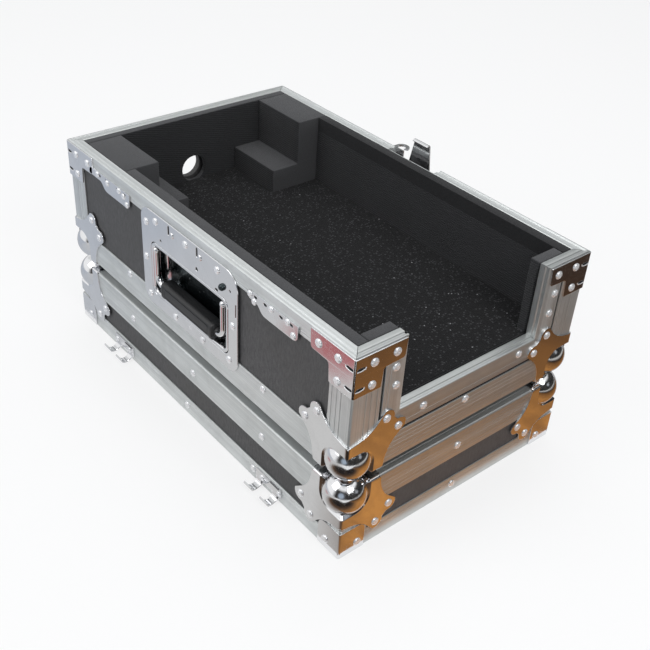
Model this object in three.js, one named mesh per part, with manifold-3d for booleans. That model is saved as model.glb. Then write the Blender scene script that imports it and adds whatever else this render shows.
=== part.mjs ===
// Flight case for a compact disc player. The open main box stands on its own lid, stacked on the ball corners.
// Millimetres, +Z up. X runs across the case and Y along it; the cut-out for the player's front is at -Y.

import * as THREE from 'three';
import { mergeVertices } from 'three/addons/utils/BufferGeometryUtils.js';
import Module from 'manifold-3d';

const wasm = await Module();
wasm.setup();

// Overall sizes
const caseWidth = 280;
const caseLength = 460;
const boxHeight = 132;
const lidHeight = 78;

// Sheet, board and clearances
const ply = 7;
const sheet = 1.5;
const seatGap = 0.3;
const cutOverrun = 2;

// Edge angle of the extruded trim
const angleLeg = 31;
const edgeRadius = 2;
const ribWidth = 1.4;
const ribDepth = 0.5;
const ribShares = [0.3, 0.45, 0.78, 0.92];

// Rim extrusion: outer lip, groove and tongue above a slot for the board
const rimWidth = 13.5;
const lipWidth = 2.5;
const grooveWidth = 3.5;
const grooveDepth = 5;
const rimChamfer = 0.75;
const boardSlotTop = 7;
const innerLeg = 12;
const rimFlange = 17.5;
const doorFlange = 22.5;
const lidRimFlange = 20;
const rimRibShares = [0.72, 0.86];

// Cut-out in the front wall
const openingMargin = 55;
const sillHeight = 55.5;

// Ball corners
const ballRadius = 19;
const ballInset = 13;
const ballShell = 1.5;
const wingEdge = 36;
const wingLobeFar = 54.5;
const wingLobeNear = 40;
const wingLobeRadius = 8;
const wingHollowFar = 42;
const wingHollowNear = 24;

// Corner braces
const braceArm = 53;
const braceArmDrop = 18.5;
const braceLegWidth = 31;
const braceLegDrop = 39;
const braceTopMargin = 1;
const braceRadius = 4;
const lidBraceWidth = 28;
const lidBraceDrop = 48;

// Foam
const foamInset = 14;
const wallFoam = 9;
const rearFoam = 7;
const deckHeight = 56;
const cableRoom = 76;
const blockWidth = 36;
const blockStepWidth = 34;
const blockStepHeight = 26;
const lidFoam = 10;

// Cable hole in the rear wall
const cableHoleRadius = 15;
const cableHoleHeight = 69;

// Carrying handle on the left wall
const handlePlace = 5;
const keeperHandleGap = 16;
const handlePlateBottom = 17;
const handleTopMargin = 8;
const handleCorner = 16;
const recessSideMargin = 22;
const recessBottom = 33;
const recessTopMargin = 48;
const recessDepth = 14;
const bailWire = 3.5;
const bailPivotInset = 4;
const bailPivotDrop = 4;
const bailRoom = 16;
const bailSideGap = 0.6;
const bailPinReach = 10;
const bailBend = 9;
const bailPin = 2.2;
const bailKnuckle = 3.9;
const gripRadius = 8.5;
const gripGap = 1.5;
const gripEdge = 2;
const springWire = 0.6;
const springRadius = 3.1;
const springPitch = 1.9;
const springTurns = 3;
const slotLength = 10;
const slotWidth = 2.6;
const slotPlaceShares = [-0.165, 0.11];
const slotTopMargin = 3.5;

// Keeper plates on the left rim and hook plates on the lid
const keeperBraceGap = 10;
const keeperLength = 68;
const keeperTopMargin = 10;
const keeperBandDrop = 9;
const keeperTipDrop = 17;
const keeperTipRadius = 3;
const hookPlateWidth = 38;
const hookPlateHeight = 18;
const hookLip = 2;
const prongWidth = 14;
const prongReach = 17;
const prongHeight = 9;
const prongFoot = 0.5;
const prongBendShares = [0.55, 0.85];
const prongLiftShare = 0.25;

// Twist latch on the right wall
const latchPlace = -2;
const latchPlateWidth = 104;
const latchPlateBottom = 20;
const latchTopMargin = 16;
const latchCorner = 5;
const latchRecessWidth = 72;
const latchRecessBottom = 34;
const latchRecessDrop = 8;
const latchRecessDepth = 13;
const rimCutWidth = 72;
const latchHookWidth = 31;
const latchHookRise = 17;
const latchHookOut = 5;
const latchHookInner = 5.5;
const latchRollRadius = 2.5;
const latchHookJointDrop = 10;
const latchHookBottom = 47;
const latchTravel = 12;
const spindleRadius = 7.5;
const spindleHeight = 60;
const spindleFaceOut = 0.5;
const camRadius = 12;
const camThickness = 2;
const wingSpan = 22;
const wingHeight = 32;
const wingThickness = 1.5;
const eyeRadius = 8;
const eyeHole = 4.5;
const eyePlace = 28;
const eyeTopMargin = 1;

// Catch plate for the latch on the lid
const catchWidth = 50;
const catchHeight = 44;
const catchBottom = 6;
const catchLip = 3;
const catchLipWidth = 34;

// Derived places
const halfWidth = caseWidth / 2;
const halfLength = caseLength / 2;
const openingHalf = halfWidth - openingMargin;
const ballStandOff = ballRadius - ballInset;
const boxBase = lidHeight + 2 * ballStandOff;
const boardInner = sheet + ply;
const foamInner = foamInset + wallFoam;
const ballFillet = ballRadius - ballShell - seatGap;
const wingHingeOffset = wingThickness + seatGap;
const lidBraceHeight = lidHeight - lidBraceDrop;
const hookSpacing = 2 * (halfLength - braceArm - keeperBraceGap) - keeperLength;
const handlePlateWidth = hookSpacing - keeperLength - 2 * keeperHandleGap;
const recessWidth = handlePlateWidth - 2 * recessSideMargin;
const handlePlateTop = boxHeight - handleTopMargin;
const recessTop = boxHeight - recessTopMargin;
const bailDrop = recessTop - recessBottom - bailRoom;
const bailArmOffset = recessWidth / 2 - bailSideGap - bailKnuckle;
const gripLength = 2 * (bailArmOffset - bailBend - gripGap);
const keeperTop = boxHeight - keeperTopMargin;
const keeperBand = keeperTop - keeperBandDrop;
const keeperTip = keeperTop - keeperTipDrop;
const latchPlateTop = boxHeight - latchTopMargin;
const latchRecessTop = latchPlateTop - latchRecessDrop;
const latchHookJoint = latchRecessTop - latchHookJointDrop;
const latchHookTop = boxHeight + latchHookRise;
const eyeTop = boxHeight - eyeTopMargin;

// Fineness of the round forms
const ballSteps = 16;
const ballRings = 10;
const curveSteps = 3;
const rodSides = 24;
const pinSides = 12;
const wireSteps = 40;
const wireFineness = 5;
const coilSteps = 8;
const coilFineness = 3;
const flapFineness = 6;
// How far a cubic curve with level control points reaches toward them
const cubicReachShare = 0.75;

// Materials as the photograph shows them
const finishes = {
  aluminium: { color: 0xb4bbbc, roughness: 0.42, metalness: 1 },
  chrome: { color: 0xd3d6da, roughness: 0.16, metalness: 1 },
  board: { color: 0x48484a, roughness: 0.62, metalness: 0 },
  foam: { color: 0x2c2c2d, roughness: 0.95, metalness: 0 },
  mat: { color: 0x181818, roughness: 1, metalness: 0 },
  grip: { color: 0x151515, roughness: 0.55, metalness: 0 },
  spring: { color: 0x9a9da0, roughness: 0.3, metalness: 1 },
};

const flightCase = new THREE.Group();
const lid = new THREE.Group();
const box = new THREE.Group();
box.position.z = boxBase;
flightCase.add(lid, box);

function addPart(parent, name, geometry, finish) {
  geometry.deleteAttribute('normal');
  geometry.deleteAttribute('uv');
  const shape = outward(mergeVertices(geometry));
  shape.computeVertexNormals();
  const mesh = new THREE.Mesh(shape, new THREE.MeshStandardMaterial(finishes[finish]));
  mesh.name = name;
  parent.add(mesh);
  return mesh;
}

// Turns a closed surface so that its faces point out
function outward(geometry) {
  const places = geometry.attributes.position;
  const index = geometry.index.array;
  const a = new THREE.Vector3();
  const b = new THREE.Vector3();
  const c = new THREE.Vector3();
  let volume = 0;
  for (let i = 0; i < index.length; i += 3) {
    a.fromBufferAttribute(places, index[i]);
    b.fromBufferAttribute(places, index[i + 1]);
    c.fromBufferAttribute(places, index[i + 2]);
    volume += a.dot(b.cross(c));
  }
  if (volume < 0) {
    for (let i = 0; i < index.length; i += 3) {
      const first = index[i];
      index[i] = index[i + 1];
      index[i + 1] = first;
    }
  }
  return geometry;
}

function solid(geometry) {
  geometry.deleteAttribute('normal');
  geometry.deleteAttribute('uv');
  const shape = outward(mergeVertices(geometry));
  const mesh = new wasm.Mesh({
    numProp: 3,
    vertProperties: new Float32Array(shape.attributes.position.array),
    triVerts: new Uint32Array(shape.index.array),
  });
  return new wasm.Manifold(mesh);
}

function surface(manifold) {
  const mesh = manifold.getMesh();
  const geometry = new THREE.BufferGeometry();
  const places = new Float32Array(mesh.numVert * 3);
  for (let i = 0; i < mesh.numVert; i += 1) {
    for (let k = 0; k < 3; k += 1) {
      places[3 * i + k] = mesh.vertProperties[mesh.numProp * i + k];
    }
  }
  geometry.setAttribute('position', new THREE.BufferAttribute(places, 3));
  geometry.setIndex(new THREE.BufferAttribute(new Uint32Array(mesh.triVerts), 1));
  return geometry;
}

function joined(...geometries) {
  return surface(geometries.map(solid).reduce((sum, next) => sum.add(next)));
}

function cut(geometry, ...tools) {
  return surface(tools.map(solid).reduce((rest, tool) => rest.subtract(tool), solid(geometry)));
}

function block([x0, x1], [y0, y1], [z0, z1]) {
  const geometry = new THREE.BoxGeometry(1, 1, 1);
  const places = geometry.attributes.position;
  for (let i = 0; i < places.count; i += 1) {
    const x = places.getX(i) < 0 ? x0 : x1;
    const y = places.getY(i) < 0 ? y0 : y1;
    const z = places.getZ(i) < 0 ? z0 : z1;
    places.setXYZ(i, x, y, z);
  }
  return geometry;
}

// A cylinder along 'x', 'y' or 'z' between two places on that axis
function rod(axis, [from, to], radius, centre, sides = rodSides) {
  const geometry = new THREE.CylinderGeometry(radius, radius, to - from, sides);
  if (axis === 'x') geometry.rotateZ(Math.PI / 2);
  if (axis === 'z') geometry.rotateX(Math.PI / 2);
  const middle = (from + to) / 2;
  const [p, q] = centre;
  if (axis === 'x') geometry.translate(middle, p, q);
  if (axis === 'y') geometry.translate(p, middle, q);
  if (axis === 'z') geometry.translate(p, q, middle);
  return geometry;
}

// A flat plate: an outline in (Y, Z) given thickness along X
function plateAcrossX(outline, [from, to], segments = curveSteps) {
  const settings = { depth: to - from, bevelEnabled: false, curveSegments: segments };
  const geometry = new THREE.ExtrudeGeometry(outline, settings);
  const turn = new THREE.Matrix4().set(0, 0, 1, from, 1, 0, 0, 0, 0, 1, 0, 0, 0, 0, 0, 1);
  return geometry.applyMatrix4(turn);
}

// A flat plate: an outline in (X, Z) given thickness along Y
function plateAcrossY(outline, [from, to], segments = curveSteps) {
  const settings = { depth: to - from, bevelEnabled: false, curveSegments: segments };
  const geometry = new THREE.ExtrudeGeometry(outline, settings);
  const turn = new THREE.Matrix4().set(1, 0, 0, 0, 0, 0, 1, from, 0, 1, 0, 0, 0, 0, 0, 1);
  return geometry.applyMatrix4(turn);
}

function roundedRectangle([x0, x1], [y0, y1], radius) {
  const shape = new THREE.Shape();
  shape.moveTo(x0 + radius, y0);
  shape.lineTo(x1 - radius, y0);
  shape.absarc(x1 - radius, y0 + radius, radius, -Math.PI / 2, 0);
  shape.lineTo(x1, y1 - radius);
  shape.absarc(x1 - radius, y1 - radius, radius, 0, Math.PI / 2);
  shape.lineTo(x0 + radius, y1);
  shape.absarc(x0 + radius, y1 - radius, radius, Math.PI / 2, Math.PI);
  shape.lineTo(x0, y0 + radius);
  shape.absarc(x0 + radius, y0 + radius, radius, Math.PI, 1.5 * Math.PI);
  return shape;
}

function outlineOf(points) {
  return new THREE.Shape(points.map(([x, y]) => new THREE.Vector2(x, y)));
}

// Skins a run of equal rings of points; an open run gets flat ends from the profile's own triangles
function loft(rings, profile, isLoop) {
  const count = profile.length;
  const places = rings.flat(2);
  const faces = [];
  const runs = isLoop ? rings.length : rings.length - 1;
  for (let r = 0; r < runs; r += 1) {
    const here = r * count;
    const there = ((r + 1) % rings.length) * count;
    for (let i = 0; i < count; i += 1) {
      const next = (i + 1) % count;
      faces.push(here + i, here + next, there + i);
      faces.push(here + next, there + next, there + i);
    }
  }
  if (!isLoop) {
    const flat = profile.map(([u, v]) => new THREE.Vector2(u, v));
    const turn = Math.sign(THREE.ShapeUtils.area(flat));
    const last = (rings.length - 1) * count;
    for (const triangle of THREE.ShapeUtils.triangulateShape(flat, [])) {
      const area = THREE.ShapeUtils.area(triangle.map((i) => flat[i]));
      const [a, b, c] = area * turn > 0 ? triangle : [...triangle].reverse();
      faces.push(a, c, b);
      faces.push(last + a, last + b, last + c);
    }
  }
  const geometry = new THREE.BufferGeometry();
  geometry.setAttribute('position', new THREE.BufferAttribute(new Float32Array(places), 3));
  geometry.setIndex(faces);
  return geometry;
}

// Shallow lengthwise grooves down one face of an extrusion, as points of its profile
function ribbedFace(from, to, shares, place) {
  const points = [];
  for (const share of shares) {
    const middle = from + (to - from) * share;
    const half = Math.sign(to - from) * ribWidth / 2;
    points.push(place(middle - half, 0));
    points.push(place(middle, ribDepth));
    points.push(place(middle + half, 0));
  }
  return points;
}

// L-shaped section of the edge angle: u goes in from one outer face, v in from the other
function angleProfile(leg) {
  const bevel = edgeRadius * (1 - Math.SQRT1_2);
  return [
    [0, leg],
    [sheet, leg],
    [sheet, sheet],
    [leg, sheet],
    [leg, 0],
    ...ribbedFace(leg, 0, ribShares.map((share) => 1 - share).reverse(), (a, d) => [a, d]),
    [edgeRadius, 0],
    [bevel, bevel],
    [0, edgeRadius],
    ...ribbedFace(0, leg, ribShares, (a, d) => [d, a]),
  ];
}

// Rim section: u goes in from the outer face, v down from the rim's top
function rimProfile(flange) {
  const tongueStart = lipWidth + grooveWidth;
  return [
    [0, flange],
    ...ribbedFace(flange, 0, rimRibShares.map((share) => 1 - share).reverse(), (a, d) => [d, a]),
    [0, rimChamfer],
    [rimChamfer, 0],
    [lipWidth, 0],
    [lipWidth, grooveDepth],
    [tongueStart, grooveDepth],
    [tongueStart, rimChamfer],
    [tongueStart + rimChamfer, 0],
    [rimWidth - rimChamfer, 0],
    [rimWidth, rimChamfer],
    [rimWidth, innerLeg],
    [boardInner, innerLeg],
    [boardInner, boardSlotTop],
    [sheet, boardSlotTop],
    [sheet, flange],
  ];
}

const cornerSigns = [[-1, -1], [1, -1], [1, 1], [-1, 1]];
const cornerNames = ['front_left', 'front_right', 'rear_right', 'rear_left'];

// A profile taken round the case with mitred corners; heightOf turns v into a height
function mitredRing(profile, heightOf) {
  const rings = cornerSigns.map(([sx, sy]) =>
    profile.map(([u, v]) => [sx * (halfWidth - u), sy * (halfLength - u), heightOf(v)]));
  return loft(rings, profile, true);
}

// The space outside the rounded corner that each ball covers, at one height of the case
function ballCutters(faceHeight, inwardZ) {
  return cornerSigns.map(([sx, sy]) => {
    const x = [sx * (halfWidth + cutOverrun), sx * (halfWidth - ballInset)].sort((p, q) => p - q);
    const y = [sy * (halfLength + cutOverrun), sy * (halfLength - ballInset)].sort((p, q) => p - q);
    const z = [faceHeight - inwardZ * cutOverrun, faceHeight + inwardZ * ballInset].sort((p, q) => p - q);
    const ball = new THREE.SphereGeometry(ballFillet, ballSteps, ballRings);
    ball.rotateX(Math.PI / 2);
    ball.translate(sx * (halfWidth - ballInset), sy * (halfLength - ballInset), faceHeight + inwardZ * ballInset);
    return cut(block(x, y, z), ball);
  });
}

// One wing of a ball corner, flat in its face with the corner at the origin
function wingOutline() {
  const shape = new THREE.Shape();
  shape.moveTo(-sheet, -sheet);
  shape.lineTo(wingEdge, -sheet);
  shape.lineTo(wingEdge, 0);
  shape.quadraticCurveTo(wingHollowFar, wingHollowNear, wingLobeFar + wingLobeRadius / 4, wingLobeNear - wingLobeRadius);
  shape.absarc(wingLobeFar, wingLobeNear, wingLobeRadius, -0.4 * Math.PI, 0.62 * Math.PI);
  shape.absarc(wingLobeNear, wingLobeFar, wingLobeRadius, -0.12 * Math.PI, 0.9 * Math.PI);
  shape.quadraticCurveTo(wingHollowNear, wingHollowFar, 0, wingEdge);
  shape.lineTo(-sheet, wingEdge);
  return shape;
}

// A ball corner for a case that fills the positive octant
function ballCorner() {
  const settings = { depth: sheet, bevelEnabled: false, curveSegments: curveSteps };
  const flat = () => new THREE.ExtrudeGeometry(wingOutline(), settings);
  const under = flat().translate(0, 0, -sheet);
  const left = flat().applyMatrix4(new THREE.Matrix4().set(0, 0, 1, -sheet, 1, 0, 0, 0, 0, 1, 0, 0, 0, 0, 0, 1));
  const front = flat().applyMatrix4(new THREE.Matrix4().set(0, 1, 0, 0, 0, 0, 1, -sheet, 1, 0, 0, 0, 0, 0, 0, 1));
  const round = (radius) => {
    const sphere = new THREE.SphereGeometry(radius, ballSteps, ballRings);
    sphere.rotateX(Math.PI / 2);
    return sphere.translate(ballInset, ballInset, ballInset);
  };
  const beyond = 2 * ballRadius;
  const octant = block([0, beyond], [0, beyond], [0, beyond]);
  const corner = block([0, ballInset], [0, ballInset], [0, ballInset]);
  const core = solid(octant).subtract(solid(corner).subtract(solid(round(ballRadius - ballShell))));
  const foot = seatGap / 2;
  const tip = block([-beyond, beyond], [-beyond, beyond], [-beyond, foot - ballStandOff]);
  const shell = solid(round(ballRadius)).subtract(core).subtract(solid(tip));
  const point = block([-beyond, ballInset], [-beyond, ballInset], [-beyond, ballInset]);
  const wings = [under, left, front].map(solid).reduce((sum, next) => sum.add(next));
  const trimmed = wings.subtract(solid(point).subtract(solid(round(ballRadius - ballShell / 2))));
  return surface(shell.add(trimmed).subtract(core));
}

function placedCorner(geometry, [sx, sy], faceHeight, inwardZ) {
  const copy = geometry.clone();
  copy.scale(-sx, -sy, inwardZ);
  copy.translate(sx * halfWidth, sy * halfLength, faceHeight);
  return copy;
}

// One arm-and-leg plate of a corner brace, for the face it lies on
function braceOutline(arm, armDrop, legWidth, legDrop) {
  const shape = new THREE.Shape();
  shape.moveTo(-sheet, 0);
  shape.lineTo(arm - braceRadius, 0);
  shape.absarc(arm - braceRadius, -braceRadius, braceRadius, Math.PI / 2, 0, true);
  shape.lineTo(arm, braceRadius - armDrop);
  shape.absarc(arm - braceRadius, braceRadius - armDrop, braceRadius, 0, -Math.PI / 2, true);
  shape.lineTo(legWidth, -armDrop);
  shape.lineTo(legWidth, braceRadius - legDrop);
  shape.absarc(legWidth - braceRadius, braceRadius - legDrop, braceRadius, 0, -Math.PI / 2, true);
  shape.lineTo(-sheet, -legDrop);
  return shape;
}

// The plain plate of a lid brace, with its upper outer corner rounded
function lidBraceOutline() {
  const shape = new THREE.Shape();
  shape.moveTo(-sheet, 0);
  shape.lineTo(lidBraceWidth - 2 * braceRadius, 0);
  shape.absarc(lidBraceWidth - 2 * braceRadius, -2 * braceRadius, 2 * braceRadius, Math.PI / 2, 0, true);
  shape.lineTo(lidBraceWidth, -lidBraceHeight);
  shape.lineTo(-sheet, -lidBraceHeight);
  return shape;
}

function cornerBrace(outline, [sx, sy], top) {
  const settings = { depth: sheet, bevelEnabled: false, curveSegments: curveSteps };
  const side = new THREE.ExtrudeGeometry(outline, settings);
  side.applyMatrix4(new THREE.Matrix4().set(0, 0, 1, -sheet, 1, 0, 0, 0, 0, 1, 0, 0, 0, 0, 0, 1));
  const end = new THREE.ExtrudeGeometry(outline, settings);
  end.applyMatrix4(new THREE.Matrix4().set(1, 0, 0, 0, 0, 0, 1, -sheet, 0, 1, 0, 0, 0, 0, 0, 1));
  const brace = joined(side, end);
  brace.scale(-sx, -sy, 1);
  brace.translate(sx * halfWidth, sy * halfLength, top);
  return brace;
}

const cornerCutBox = ballCutters(0, 1);
const cornerCutLid = ballCutters(lidHeight, -1);

// Main box: boards
function boxBoards() {
  const sideX = [-halfWidth + sheet, -halfWidth + boardInner];
  const innerX = [-halfWidth + boardInner, halfWidth - boardInner];
  const innerY = [-halfLength + boardInner, halfLength - boardInner];
  const fullY = [-halfLength + sheet, halfLength - sheet];
  const wallTop = boxHeight - boardSlotTop;
  const wallZ = [sheet, wallTop];

  const floorBoard = block(innerX, innerY, [sheet, boardInner]);
  addPart(box, 'box_floor_board', floorBoard, 'board');

  const pinRoom = bailPinReach + cutOverrun;
  const handleHole = block(
    [-halfWidth, -halfWidth + boardInner + cutOverrun],
    [handlePlace - recessWidth / 2 - pinRoom, handlePlace + recessWidth / 2 + pinRoom],
    [recessBottom - cutOverrun, recessTop + cutOverrun],
  );
  const leftBoard = block(sideX, fullY, wallZ);
  addPart(box, 'box_left_board', cut(leftBoard, handleHole, cornerCutBox[0], cornerCutBox[3]), 'board');

  const latchHole = block(
    [halfWidth - boardInner - cutOverrun, halfWidth],
    [latchPlace - latchRecessWidth / 2 - cutOverrun, latchPlace + latchRecessWidth / 2 + cutOverrun],
    [latchRecessBottom - cutOverrun, latchRecessTop + cutOverrun],
  );
  const rightBoard = block([halfWidth - boardInner, halfWidth - sheet], fullY, wallZ);
  addPart(box, 'box_right_board', cut(rightBoard, latchHole, cornerCutBox[1], cornerCutBox[2]), 'board');

  const rearBoard = block(innerX, [halfLength - boardInner, halfLength - sheet], wallZ);
  const cableHole = rod('y', [halfLength - foamInner, halfLength + cutOverrun], cableHoleRadius, [0, cableHoleHeight]);
  addPart(box, 'box_rear_board', cut(rearBoard, cableHole), 'board');

  const frontBoard = block(innerX, [-halfLength + sheet, -halfLength + boardInner], wallZ);
  const openingCut = block(
    [-openingHalf - boardSlotTop, openingHalf + boardSlotTop],
    [-halfLength, -halfLength + boardInner + cutOverrun],
    [sillHeight - boardSlotTop, boxHeight + cutOverrun],
  );
  addPart(box, 'box_front_board', cut(frontBoard, openingCut), 'board');
}

// Main box: extruded trim
function boxTrim() {
  const bottom = mitredRing(angleProfile(angleLeg), (v) => v);
  addPart(box, 'box_bottom_trim', cut(bottom, ...cornerCutBox), 'aluminium');

  const profile = angleProfile(angleLeg);
  const postTop = boxHeight - rimFlange;
  cornerSigns.forEach(([sx, sy], index) => {
    const ring = (z) => profile.map(([u, v]) => [sx * (halfWidth - u), sy * (halfLength - v), z]);
    const angle = loft([ring(angleLeg), ring(postTop)], profile, false);
    addPart(box, `box_${cornerNames[index]}_angle`, angle, 'aluminium');
  });
}

// Main box: rim round the opening at the top and the cut-out at the front
function boxRim() {
  const rim = rimProfile(rimFlange);
  const door = rimProfile(doorFlange);
  const sideRim = (sx) => {
    const ring = (sy) => rim.map(([u, v]) => [sx * (halfWidth - u), sy * (halfLength - u), boxHeight - v]);
    return loft([ring(-1), ring(1)], rim, false);
  };
  addPart(box, 'box_left_rim', sideRim(-1), 'aluminium');

  const lipCut = block(
    [halfWidth - lipWidth - grooveWidth, halfWidth + cutOverrun],
    [latchPlace - rimCutWidth / 2, latchPlace + rimCutWidth / 2],
    [boxHeight - grooveDepth, boxHeight + cutOverrun],
  );
  addPart(box, 'box_right_rim', cut(sideRim(1), lipCut), 'aluminium');

  const rearRing = (sx) => rim.map(([u, v]) => [sx * (halfWidth - u), halfLength - u, boxHeight - v]);
  addPart(box, 'box_rear_rim', loft([rearRing(-1), rearRing(1)], rim, false), 'aluminium');

  const rings = [];
  const addRing = (xOf, zOf) => {
    rings.push(rim.map(([u, v], i) => [xOf(u, door[i][1]), -halfLength + u, zOf(v, door[i][1])]));
  };
  addRing((u) => -halfWidth + u, (v) => boxHeight - v);
  addRing((u, w) => -openingHalf - w, (v) => boxHeight - v);
  addRing((u, w) => -openingHalf - w, (v, w) => sillHeight - w);
  addRing((u, w) => openingHalf + w, (v, w) => sillHeight - w);
  addRing((u, w) => openingHalf + w, (v) => boxHeight - v);
  addRing((u) => halfWidth - u, (v) => boxHeight - v);
  addPart(box, 'box_front_rim', loft(rings, rim, false), 'aluminium');
}

// Ball corners under the box and on top of the lid, and the flat braces at the open edges
function cornerHardware() {
  const ball = ballCorner();
  const boxBrace = braceOutline(braceArm, braceArmDrop, braceLegWidth, braceLegDrop);
  const lidBrace = lidBraceOutline();
  cornerSigns.forEach((signs, index) => {
    const name = cornerNames[index];
    addPart(box, `box_${name}_ball_corner`, placedCorner(ball, signs, 0, 1), 'chrome');
    addPart(lid, `lid_${name}_ball_corner`, placedCorner(ball, signs, lidHeight, -1), 'chrome');
    addPart(box, `box_${name}_brace`, cornerBrace(boxBrace, signs, boxHeight - braceTopMargin), 'chrome');
    addPart(lid, `lid_${name}_brace`, cornerBrace(lidBrace, signs, lidBraceHeight + braceTopMargin), 'chrome');
  });
}

// Foam lining of the main box
function boxFoam() {
  const liningZ = [boardInner + seatGap, boxHeight];
  const outerX = halfWidth - foamInset - seatGap;
  const outerY = halfLength - foamInset - seatGap;
  const innerX = halfWidth - foamInner;
  const innerY = halfLength - foamInner;
  const rearFace = halfLength - foamInset - rearFoam;
  const blockFront = rearFace - cableRoom;

  const sideLiner = (sx, place, recess, [bottom, top], depth) => {
    const x = [sx * outerX, sx * innerX].sort((p, q) => p - q);
    const room = sheet + seatGap;
    const pocketX = [sx * halfWidth, sx * (halfWidth - depth - room)].sort((p, q) => p - q);
    const pocketY = [place - recess / 2 - room, place + recess / 2 + room];
    const pocket = block(pocketX, pocketY, [bottom - room, top + room]);
    return cut(block(x, [-outerY, blockFront - seatGap], liningZ), pocket);
  };
  const left = sideLiner(-1, handlePlace, recessWidth, [recessBottom, recessTop], recessDepth);
  addPart(box, 'left_foam_liner', left, 'foam');
  const latchZ = [latchRecessBottom, latchRecessTop];
  const right = sideLiner(1, latchPlace, latchRecessWidth, latchZ, latchRecessDepth);
  addPart(box, 'right_foam_liner', right, 'foam');

  const frontLiner = block([seatGap - innerX, innerX - seatGap], [-outerY, -innerY], liningZ);
  const frontCut = block(
    [-openingHalf, openingHalf],
    [-halfLength, -innerY + cutOverrun],
    [sillHeight, boxHeight + cutOverrun],
  );
  addPart(box, 'front_foam_liner', cut(frontLiner, frontCut), 'foam');

  const rearLiner = block([-outerX, outerX], [rearFace + seatGap, outerY], liningZ);
  const cableHole = rod('y', [rearFace - cutOverrun, halfLength], cableHoleRadius, [0, cableHoleHeight]);
  addPart(box, 'rear_foam_liner', cut(rearLiner, cableHole), 'foam');

  const deckX = innerX - seatGap;
  const blockCuts = [-1, 1].map((sx) => {
    const x = [sx * innerX, sx * (outerX - blockWidth - blockStepWidth - seatGap)].sort((p, q) => p - q);
    return block(x, [blockFront - seatGap, halfLength], [boardInner, deckHeight + cutOverrun]);
  });
  const deck = block([-deckX, deckX], [seatGap - innerY, rearFace], [boardInner + seatGap, deckHeight]);
  addPart(box, 'floor_foam', cut(deck, ...blockCuts), 'mat');

  for (const [name, sx] of [['left', -1], ['right', 1]]) {
    const wall = sx * outerX;
    const tallEdge = sx * (outerX - blockWidth);
    const stepEdge = sx * (outerX - blockWidth - blockStepWidth);
    const stepTop = deckHeight + blockStepHeight;
    const outline = outlineOf([
      [wall, boardInner + seatGap],
      [stepEdge, boardInner + seatGap],
      [stepEdge, stepTop],
      [tallEdge, stepTop],
      [tallEdge, boxHeight],
      [wall, boxHeight],
    ]);
    addPart(box, `${name}_rear_foam_block`, plateAcrossY(outline, [blockFront, rearFace]), 'foam');
  }
}

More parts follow.
